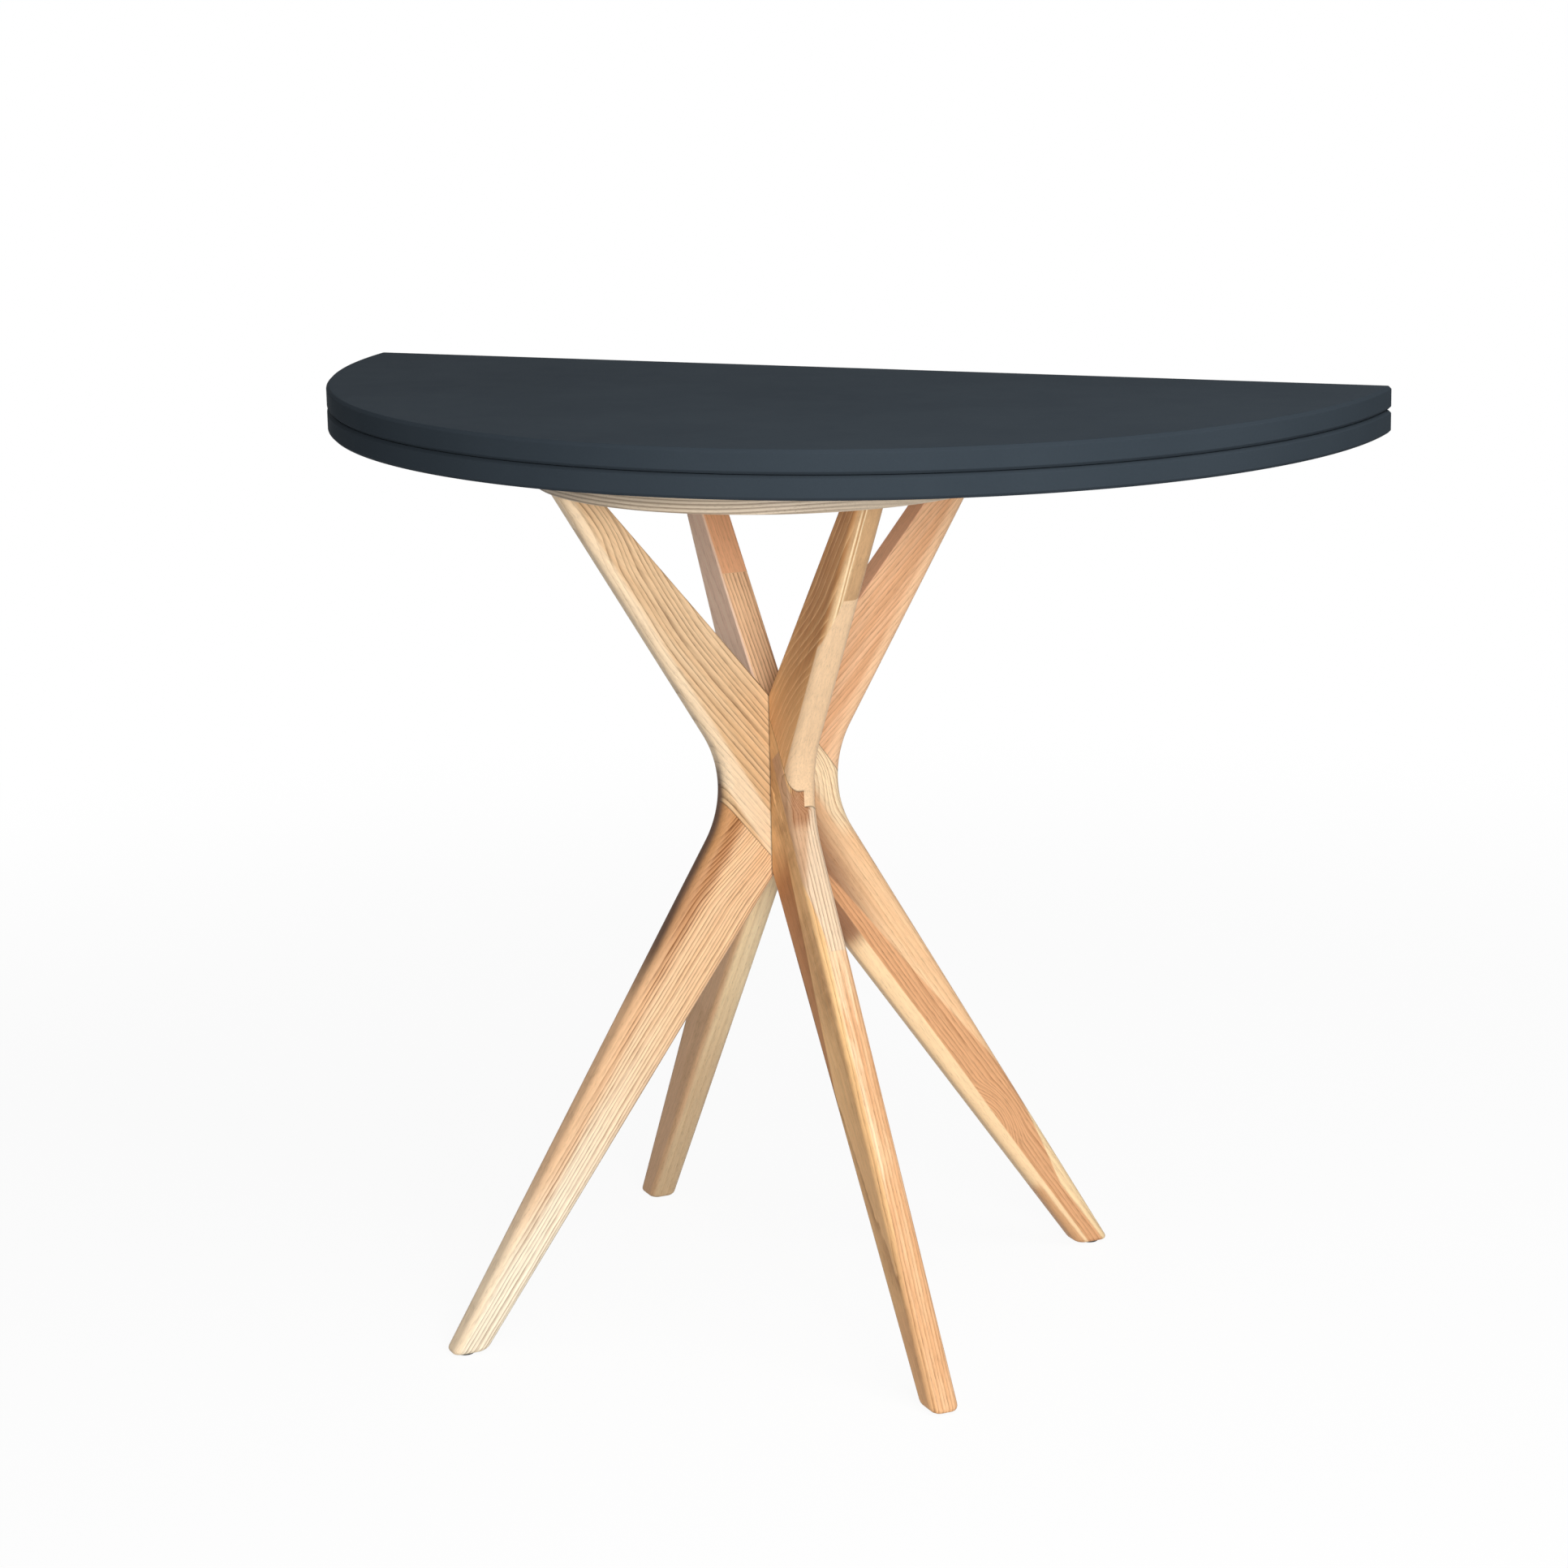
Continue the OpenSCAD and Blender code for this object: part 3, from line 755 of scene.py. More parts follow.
class Shape:
    """One piece and the modelling steps on it, as they are done by hand."""

    TINY = 1e-5
    DOUBLES = 2e-6
    SHARP_TURN = 1.0
    SMOOTH_ANGLE = math.radians(32)

    def __init__(self, name: str, piece: Piece | None = None) -> None:
        """Names an object and settles it.

        Args:
            name: Its name.
            piece: The object, or nothing for the one that was just added.
        """
        self.piece = piece or bpy.context.active_object
        self.piece.name = name
        self.settle()

    @staticmethod
    def clear() -> None:
        """Leaves edit mode and deselects everything."""
        if bpy.context.mode != "OBJECT":
            bpy.ops.object.mode_set(mode="OBJECT")
        bpy.ops.object.select_all(action="DESELECT")

    @classmethod
    def add(cls, name: str, primitive: Callable[..., object], **settings: object) -> "Shape":
        """Adds a piece.

        Args:
            name: Its name.
            primitive: The operator that adds it.
            settings: What the operator takes.

        Returns:
            The piece.
        """
        cls.clear()
        primitive(**settings)
        return cls(name)

    @classmethod
    def block(cls, name: str, low: Iterable[float], high: Iterable[float]) -> "Shape":
        """Adds a block between two corners."""
        low, high = Vector(low), Vector(high)
        return cls.add(name, bpy.ops.mesh.primitive_cube_add, size=1, location=(low + high) / 2,
                       scale=high - low)

    @classmethod
    def disc(cls, name: str, centre: Iterable[float], radius: float, height: float, sides: int) -> "Shape":
        """Adds an upright cylinder on the centre of its lower face."""
        middle = Vector(centre) + Vector((0, 0, height / 2))
        return cls.add(name, bpy.ops.mesh.primitive_cylinder_add, vertices=sides, radius=radius, depth=height,
                       location=middle)

    @classmethod
    def sheet(cls, name: str, centre: Iterable[float], wide: float, long: float,
              tilt: float = 0.0) -> "Shape":
        """Adds a rectangle.

        Args:
            name: The piece's name.
            centre: Its middle.
            wide: Its size along X.
            long: Its size along Y, before the tilt.
            tilt: Its turn about X in radians.

        Returns:
            The rectangle.
        """
        cls.clear()
        bpy.ops.mesh.primitive_plane_add(size=1, location=centre, rotation=(tilt, 0, 0))
        bpy.context.active_object.scale = (wide, long, 1)
        return cls(name)

    def twin(self, name: str, turn: float) -> "Shape":
        """Copies the piece with its own mesh, turned about the axis.

        Args:
            name: The copy's name.
            turn: The turn in degrees.

        Returns:
            The copy.
        """
        copy = self.piece.copy()
        copy.data = self.piece.data.copy()
        bpy.context.scene.collection.objects.link(copy)
        copy.rotation_euler.z = math.radians(turn)
        return Shape(name, copy)

    def pick(self) -> None:
        """Makes the piece the only one selected."""
        self.clear()
        self.piece.select_set(True)
        bpy.context.view_layer.objects.active = self.piece

    def settle(self) -> None:
        """Puts the piece's place, turn and scale into its mesh."""
        self.pick()
        bpy.ops.object.transform_apply(location=True, rotation=True, scale=True)

    def put(self, centre: Iterable[float], tilt: float) -> "Shape":
        """Tilts the piece about Y and moves it.

        Args:
            centre: Where its origin goes.
            tilt: The tilt in radians.

        Returns:
            The same piece.
        """
        self.piece.rotation_euler.y = tilt
        self.piece.location = centre
        self.settle()
        return self

    @contextmanager
    def editing(self, kind: str, action: str = "SELECT") -> Iterator[None]:
        """Opens the piece in edit mode for a few steps.

        Args:
            kind: What is selected by: VERT, EDGE or FACE.
            action: SELECT for all of it or DESELECT for nothing.

        Yields:
            Nothing.
        """
        self.pick()
        bpy.ops.object.mode_set(mode="EDIT")
        bpy.ops.mesh.select_mode(type=kind)
        bpy.ops.mesh.select_all(action=action)
        yield
        bpy.ops.object.mode_set(mode="OBJECT")

    def soften(self, wanted: Callable[[Edge], bool], width: float, steps: int) -> None:
        """Bevels the edges that pass a test.

        Args:
            wanted: The test.
            width: The bevel's width.
            steps: How many segments it has.
        """
        with self.editing("EDGE", "DESELECT"):
            mesh = bmesh.from_edit_mesh(self.piece.data)
            for edge in mesh.edges:
                edge.select_set(wanted(edge))
            bmesh.update_edit_mesh(self.piece.data)
            bpy.ops.mesh.bevel(offset=width, segments=steps, profile=0.5, affect="EDGES")

    def slice(self, point: tuple[float, ...], normal: tuple[float, ...]) -> None:
        """Cuts the piece at a plane, drops what the normal points to and closes the cut.

        Args:
            point: A point on the plane.
            normal: The plane's normal.
        """
        with self.editing("VERT"):
            bpy.ops.mesh.bisect(plane_co=point, plane_no=normal, use_fill=True, clear_outer=True)
            bpy.ops.mesh.select_all(action="SELECT")
            bpy.ops.mesh.normals_make_consistent(inside=False)

    def modify(self, kind: str, settings: dict[str, object]) -> None:
        """Adds a modifier and applies it.

        Args:
            kind: The modifier's type.
            settings: Its attributes.
        """
        self.pick()
        bpy.ops.object.modifier_add(type=kind)
        modifier = self.piece.modifiers[-1]
        for name, value in settings.items():
            setattr(modifier, name, value)
        bpy.ops.object.modifier_apply(modifier=modifier.name)

    def combine(self, others: list["Shape"], operation: str = "DIFFERENCE") -> None:
        """Takes other pieces out of this one, or joins them to it, and deletes them.

        Args:
            others: The other pieces, which are used one after the other.
            operation: DIFFERENCE or UNION.
        """
        for other in others:
            self.modify("BOOLEAN", {"operation": operation, "solver": "EXACT", "object": other.piece})
            bpy.data.objects.remove(other.piece)

    def tidy(self) -> None:
        """Merges doubles and turns the faces outwards."""
        with self.editing("VERT"):
            bpy.ops.mesh.remove_doubles(threshold=self.DOUBLES)
            bpy.ops.mesh.normals_make_consistent(inside=False)

    def finish(self, material: Material, node: str, body: Body, slot: str) -> None:
        """Smooths and dresses the piece, and puts it in the place of a node.

        Args:
            material: Its material.
            node: The node that it stands for.
            body: The body that it rides on.
            slot: The material slot of its finish; not used.
        """
        piece = self.piece
        self.pick()
        bpy.ops.object.shade_smooth_by_angle(angle=self.SMOOTH_ANGLE)
        self.modify("WEIGHTED_NORMAL", {"keep_sharp": True, "weight": 80})
        dress(piece, material)
        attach(piece, body.value)
        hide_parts(node)
        LOG.info("%s: %d faces, for %s", piece.name, len(piece.data.polygons), node)

    @classmethod
    def is_sharp(cls, edge: Edge) -> bool:
        """Tells whether an edge's two faces meet at a sharp turn."""
        return len(edge.link_faces) == 2 and edge.calc_face_angle() > cls.SHARP_TURN

    @classmethod
    def is_upright(cls, edge: Edge) -> bool:
        """Tells whether an edge is upright."""
        first, second = (vertex.co for vertex in edge.verts)
        return (first.xy - second.xy).length < cls.TINY


@dataclass
class Legs:
    """Four legs, each an arm and a lower leg half-lapped at the knee and mitred at the axis."""

    plane: LegPlane = field(default_factory=LegPlane)
    edge_steps: int = 6
    inner_steps: int = 3
    sole_steps: int = 5
    beyond: float = 2.0

    def build(self, woods: dict[str, Ash]) -> None:
        """Builds and dresses the eight boards.

        Args:
            woods: The ash of each board, by node name.
        """
        blank = self.blank()
        for bar in Bar:
            pattern = blank.twin(f"{bar.value}_pattern", 0)
            pattern.combine(self.lap_cutters(bar))
            pattern.tidy()
            for corner, azimuth in CORNERS.items():
                node = f"{bar.value}_{corner}"
                ash = woods[node].material(f"ash_{node}", Board(self.plane, bar, azimuth))
                pattern.twin(f"{node}_board", azimuth).finish(ash, node, Body.BASE, woods[node].slot)
            bpy.data.objects.remove(pattern.piece)
        bpy.data.objects.remove(blank.piece)

    def blank(self) -> Shape:
        """Extrudes a whole leg down from its top and rounds its edges.

        Returns:
            The leg in the plane of azimuth 0, mitred at the axis.
        """
        plane = self.plane
        sections = [(out, plane.inner(up), up) for out, up in plane.outline()]
        out, inner, up = sections[0]
        blank = Shape.sheet("leg_blank", ((out + inner) / 2, 0, up), out - inner, plane.thickness)
        with blank.editing("FACE"):
            for (last_out, last_in, last_up), (out, inner, up) in zip(sections, sections[1:]):
                shift = ((out + inner - last_out - last_in) / 2, 0, up - last_up)
                bpy.ops.mesh.extrude_region_move(TRANSFORM_OT_translate={"value": shift})
                bpy.ops.transform.resize(value=((out - inner) / (last_out - last_in), 1, 1),
                                         center_override=((out + inner) / 2, 0, up))
        blank.tidy()
        blank.soften(lambda edge: self.is_long_edge(edge) and not self.is_arm_inner(edge),
                     plane.edge_round, self.edge_steps)
        blank.soften(self.is_arm_inner, plane.arm_inner_round, self.inner_steps)
        blank.soften(self.is_sole_edge, plane.sole_round, self.sole_steps)
        for side in (1, -1):
            blank.slice((0, 0, 0), (-1, side, 0))
        return blank

    def is_long_edge(self, edge: Edge) -> bool:
        """Tells whether an edge runs lengthwise."""
        first, second = (vertex.co for vertex in edge.verts)
        return abs(first.z - second.z) > Shape.TINY

    def is_arm_inner(self, edge: Edge) -> bool:
        """Tells whether an edge is a sharp inner edge above the waist.

        Args:
            edge: The edge.

        Returns:
            True if it is.
        """
        plane, tiny = self.plane, Shape.TINY
        ends = [vertex.co for vertex in edge.verts]
        return self.is_long_edge(edge) and all(
            end.z > plane.arm.waist_up - tiny and abs(end.x - plane.inner(end.z)) < tiny
            and abs(abs(end.y) - plane.thickness / 2) < tiny for end in ends)

    def is_sole_edge(self, edge: Edge) -> bool:
        """Tells whether an edge bounds the sole."""
        return all(abs(vertex.co.z - self.plane.sole) < Shape.TINY for vertex in edge.verts)

    def lap_cutters(self, bar: Bar) -> list[Shape]:
        """Makes the two blocks that leave one board of the half-lap.

        Args:
            bar: The board that stays.

        Returns:
            The cutters, one in each half of the thickness.
        """
        plane, far = self.plane, self.beyond
        cutters = []
        for limb, low in ((plane.arm, 0.0), (plane.leg, -plane.thickness)):
            start, end = (0.0, far) if limb is plane.limb(bar) else (-far, 0.0)
            cutter = Shape.block("lap", (start, low, -far), (end, low + plane.thickness, far))
            cutters.append(cutter.put((0, 0, limb.shoulder), math.atan(limb.in_slope)))
        return cutters


@dataclass
class RoundPlate:
    """The plate that joins the four arms and carries the leaves."""

    arris: float = 0.0012
    arris_steps: int = 3
    sides: int = 256
    hole_sides: int = 64
    head_sides: int = 32
    screw_ring: float = 0.170
    screw_side: float = 0.007
    screw_head: float = 0.004
    head_height: float = 0.01

    def build(self, wood: PlateAsh) -> None:
        """Builds and dresses the plate.

        Args:
            wood: Its ash.
        """
        low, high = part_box("base_plate")
        plate = Shape.disc("round_plate", (0, 0, low.z), (high.x - low.x) / 2, high.z - low.z, self.sides)
        plate.soften(Shape.is_sharp, self.arris, self.arris_steps)
        plate.combine(self.holes(low.z, high.z))
        plate.tidy()
        plate.finish(wood.material("ash_plate", (low.z + high.z) / 2), "base_plate", Body.BASE, "ash_grey")

    def holes(self, low: float, high: float) -> list[Shape]:
        """Makes the cutters of the insert, the stop pin and the screw heads.

        Args:
            low: Height of the underside.
            high: Height of the top.

        Returns:
            The cutters.
        """
        cutters = []
        for node in ("pivot_insert", "stop_pin"):
            corner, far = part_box(node)
            x, y, _ = (corner + far) / 2
            bottom = corner.z if node == "pivot_insert" else low - (far.z - corner.z)
            radius = (far.x - corner.x) / 2 + GAP
            height = high - bottom + PAST_FACE
            cutters.append(Shape.disc(f"{node}_hole", (x, y, bottom), radius, height, self.hole_sides))
        for azimuth in sorted(CORNERS.values()):
            for side in (-self.screw_side, self.screw_side):
                spot = Vector((self.screw_ring, side, high - self.screw_head / 2))
                spot.rotate(Matrix.Rotation(math.radians(azimuth), 3, "Z"))
                cutters.append(Shape.disc("screw_hole", spot, self.screw_head + GAP, self.head_height,
                                          self.head_sides))
        return cutters


@dataclass
class Leaves:
    """The two half-disc leaves with their bevels, hinge mortises and pivot recesses."""

    bevel: float = 0.0025
    arris: float = 0.0004
    arris_steps: int = 2
    arris_angle: float = math.radians(35)
    plan_corner: float = 0.0035
    plan_steps: int = 4
    sides: int = 360
    hinge_length: float = 0.060
    hinge_pitch: float = 0.300
    knuckle: float = 0.003
    knuckle_gap: float = 0.0004
    flap: float = 0.0016
    plate_corner: float = 0.006
    plate_steps: int = 6
    pocket_gap: float = 0.0005
    pocket_sides: int = 96
    groove_half: float = 0.0045
    groove_deep: float = 0.006
    groove_ring: float = 0.076
    round_sides: int = 48

    def build(self, lacquer: Lacquer) -> None:
        """Builds and dresses both leaves.

        Args:
            lacquer: Their finish.
        """
        paint = lacquer.material("slate_lacquer")
        for node, body in (("lower_leaf", Body.TOP), ("upper_leaf", Body.FOLDING_LEAF)):
            leaf = self.half_disc(node)
            cutters = self.hinge_cutters(node)
            if body is Body.TOP:
                cutters += self.pivot_cutters()
            leaf.combine(cutters)
            leaf.tidy()
            leaf.finish(paint, node, body, "lacquer")

    def half_disc(self, node: str) -> Shape:
        """Cuts a disc in half and bevels it.

        Args:
            node: The node whose place it takes.

        Returns:
            The half-disc.
        """
        low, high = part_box(node)
        radius = (high.x - low.x) / 2
        centre = (0, low.y + radius, low.z)
        leaf = Shape.disc(f"{node}_board", centre, radius, high.z - low.z, self.sides)
        leaf.slice(centre, Y_WAY)
        leaf.soften(lambda edge: Shape.is_sharp(edge) and Shape.is_upright(edge), self.plan_corner,
                    self.plan_steps)
        leaf.soften(lambda edge: Shape.is_sharp(edge) and not Shape.is_upright(edge), self.bevel, 1)
        leaf.modify("BEVEL", {"width": self.arris, "segments": self.arris_steps, "limit_method": "ANGLE",
                              "angle_limit": self.arris_angle})
        return leaf

    def hinge_cutters(self, node: str) -> list[Shape]:
        """Makes the mortises for the flaps and the notches for the knuckles.

        Args:
            node: lower_leaf or upper_leaf.

        Returns:
            The cutters of the leaf's three hinges.
        """
        low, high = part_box(node.replace("leaf", "hinge_flaps"))
        pin = Vector(frame["joints"][1]["pos_m"])
        bottom, top = low.z - GAP, pin.z + PAST_FACE
        if node == "upper_leaf":
            bottom, top = pin.z - PAST_FACE, high.z + GAP
        face = low.y + self.flap + 2 * PAST_FACE
        half = self.hinge_length / 2 + GAP
        long, wide = half + self.knuckle_gap, self.knuckle + self.knuckle_gap
        cutters = []
        for middle in (-self.hinge_pitch, 0.0, self.hinge_pitch):
            cutters.append(Shape.block("mortise", (middle - half, low.y, bottom), (middle + half, face, top)))
            notch = Shape.disc("notch", (0, 0, -long), wide, 2 * long, self.round_sides)
            cutters.append(notch.put((middle, pin.y, pin.z), math.pi / 2))
        return cutters

    def pivot_cutters(self) -> list[Shape]:
        """Makes the recess of the pivot plate, the pocket of the bolt's head and the stop's groove.

        Returns:
            The cutters.
        """
        low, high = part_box("pivot_plate")
        x, y, _ = frame["joints"][0]["pos_m"]
        gap = Vector((GAP, GAP, 0))
        recess = Shape.block("recess", low - gap - Vector((0, 0, PAST_FACE)), high + gap)
        recess.soften(Shape.is_upright, self.plate_corner, self.plate_steps)
        washer_low, washer_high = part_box("upper_thrust_washer")
        radius = (washer_high.x - washer_low.x) / 2 + self.pocket_gap
        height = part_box("pivot_bolt")[1].z + self.pocket_gap - low.z
        pocket = Shape.disc("pocket", (x, y, low.z), radius, height, self.pocket_sides)
        return [recess, pocket, self.groove(x, y, low.z - PAST_FACE)]

    def groove(self, x: float, y: float, under: float) -> Shape:
        """Spins the stop's groove round the pivot and rounds its two ends.

        Args:
            x: The pivot's place.
            y: The pivot's place.
            under: Height where the cutter starts, under the leaf.

        Returns:
            The cutter.
        """
        ring, deep = self.groove_ring, self.groove_deep + PAST_FACE
        start = (x - ring, y, under + deep / 2)
        groove = Shape.sheet("groove", start, 2 * self.groove_half, deep, math.pi / 2)
        with groove.editing("FACE"):
            bpy.ops.mesh.spin(steps=self.round_sides, angle=math.pi / 2, center=(x, y, 0), axis=Z_WAY)
        groove.tidy()
        ends = []
        for turn in (math.pi, 1.5 * math.pi):
            spot = (x + ring * math.cos(turn), y + ring * math.sin(turn), under)
            ends.append(Shape.disc("groove_end", spot, self.groove_half, deep, self.round_sides))
        groove.combine(ends, "UNION")
        return groove


@dataclass
class Hardware:
    """Metal, felt and nylon parts that keep their exact shapes from the frame."""

    finishes: dict[str, Metal | Matt] = field(default_factory=lambda: {
        "steel": Metal(srgb(190, 192, 196), srgb(150, 150, 152), rough=0.24),
        "brass": Metal(srgb(196, 160, 92), srgb(140, 104, 54), rough=0.26),
        "felt": Matt(srgb(72, 71, 68), srgb(42, 41, 40), grain=1400, depth=0.0003, rough=0.85),
        "nylon": Matt(srgb(226, 223, 212), srgb(206, 203, 192), grain=500, depth=0.00003, rough=0.5),
        "beech": Matt(srgb(214, 182, 140), srgb(190, 154, 112), grain=300, depth=0.00005, rough=0.6),
    })

    def build(self) -> None:
        """Dresses every node that stays, by its slot in the record."""
        materials = {slot: finish.material(slot) for slot, finish in self.finishes.items()}
        for part in frame["record"]["subparts"]:
            slot, node = part["material_slot"], part["node"]
            if slot in materials:
                dress(frame["nodes"][node], materials[slot])
                LOG.info("%s keeps its shape, in %s", node, slot)


@dataclass(frozen=True)
class Lamp:
    """A square soft lamp that points at the middle of the table."""

    name: str
    azimuth: float
    elevation: float
    distance: float
    size: float
    watts: float
    target: tuple[float, float, float] = (0.0, 0.0, 0.45)

    def build(self) -> None:
        """Hangs the lamp."""
        turn, rise = math.radians(self.azimuth), math.radians(self.elevation)
        away = Vector((math.cos(turn) * math.cos(rise), math.sin(turn) * math.cos(rise), math.sin(rise)))
        data = bpy.data.lights.new(self.name, "AREA")
        data.size = self.size
        data.energy = self.watts
        lamp = bpy.data.objects.new(self.name, data)
        lamp.location = Vector(self.target) + away * self.distance
        lamp.rotation_euler = away.to_track_quat("Z", "Y").to_euler()
        bpy.context.scene.collection.objects.link(lamp)


@dataclass
class Studio:
    """Camera, lamps, world and floor."""

    camera_place: tuple[float, float, float] = (1.14858, -2.97803, 1.19870)
    pitch: float = -0.233951
    yaw: float = -0.345234
    roll: float = -0.014655
    focal_pixels: float = 5004.1
    centre_pixels: tuple[float, float] = (1070.02, 962.05)
    sensor: float = 36.0
    sight: float = 50.0
    world_light: float = 0.24
    floor_radius: float = 14.0
    floor_sides: int = 96
    floor_glow: float = 0.93
    fade: tuple[float, float] = (0.9, 2.2)
    floor_colour: Colour = srgb(205, 205, 205)
    soft_white: Colour = srgb(250, 250, 252)
    lamps: tuple[Lamp, ...] = (
        Lamp("key", azimuth=300, elevation=13, distance=3.2, size=1.4, watts=77),
        Lamp("overhead", azimuth=335, elevation=57, distance=2.0, size=1.2, watts=17),
    )

    def build(self) -> None:
        """Builds the whole studio."""
        self.camera()
        self.world()
        self.floor()
        for lamp in self.lamps:
            lamp.build()

    def camera(self) -> None:
        """Sets the camera up at the photograph's viewing angle."""
        turn = Matrix.Rotation(-self.yaw, 4, "Z") @ Matrix.Rotation(math.pi / 2 + self.pitch, 4, "X")
        turn = turn @ Matrix.Rotation(self.roll, 4, "Z")
        data = bpy.data.cameras.new("camera")
        data.sensor_width = self.sensor
        data.sensor_fit = "HORIZONTAL"
        data.lens = self.focal_pixels / PHOTO_PIXELS * self.sensor
        data.shift_x = (PHOTO_PIXELS / 2 - self.centre_pixels[0]) / PHOTO_PIXELS
        data.shift_y = (self.centre_pixels[1] - PHOTO_PIXELS / 2) / PHOTO_PIXELS
        data.clip_end = self.sight
        camera = bpy.data.objects.new("camera", data)
        camera.matrix_world = Matrix.Translation(self.camera_place) @ turn
        bpy.context.scene.collection.objects.link(camera)
        bpy.context.scene.camera = camera

    def world(self) -> None:
        """Lights softly all round and shows white to the camera and to mirrors."""
        bench = ShaderBench("studio", world=True)
        soft = bench.node("ShaderNodeBackground", {"Color": self.soft_white, "Strength": self.world_light})
        white = bench.node("ShaderNodeBackground", {"Color": WHITE})
        both = bench.node("ShaderNodeMixShader", {"Fac": bench.seen(), 1: soft, 2: white})
        bpy.context.scene.world = bench.show(both)

    def floor(self) -> None:
        """Lays a pale floor that keeps the table's shadow and fades to white further out."""
        floor = Shape.add("floor", bpy.ops.mesh.primitive_circle_add, vertices=self.floor_sides,
                          radius=self.floor_radius, fill_type="NGON").piece
        bench = ShaderBench("floor_white")
        lit = bench.node("ShaderNodeBsdfDiffuse", {"Color": WHITE})
        matt = bench.node("ShaderNodeBsdfDiffuse", {"Color": self.floor_colour})
        glow = bench.node("ShaderNodeEmission", {"Color": WHITE})
        far = length(bench.along(X_WAY), bench.along(Y_WAY))
        share = self.floor_glow + far.rise(*self.fade) * (1 - self.floor_glow)
        shown = bench.node("ShaderNodeMixShader", {"Fac": share, 1: lit, 2: glow})
        both = bench.node("ShaderNodeMixShader", {"Fac": bench.seen(), 1: matt, 2: shown})
        dress(floor, bench.show(both))


Reach, Across, Through, Depth = (partial(Span, **{way: 1}) for way in ("reach", "across", "through", "depth"))
HEARTWOOD = srgb(82, 54, 38)
ARM_ARRIS = Depth(-0.02, 0.0065, 0.001)
ARM_LEFT_FACE = Through(-0.03, -0.010, 0.002)
LEG_LEFT_FACE = Through(-0.03, -0.0075, 0.0016, wander=0.001)
LEG_STREAK_SIDE = Through(-0.0214, 1.0, 0.0006, reach=-0.128)

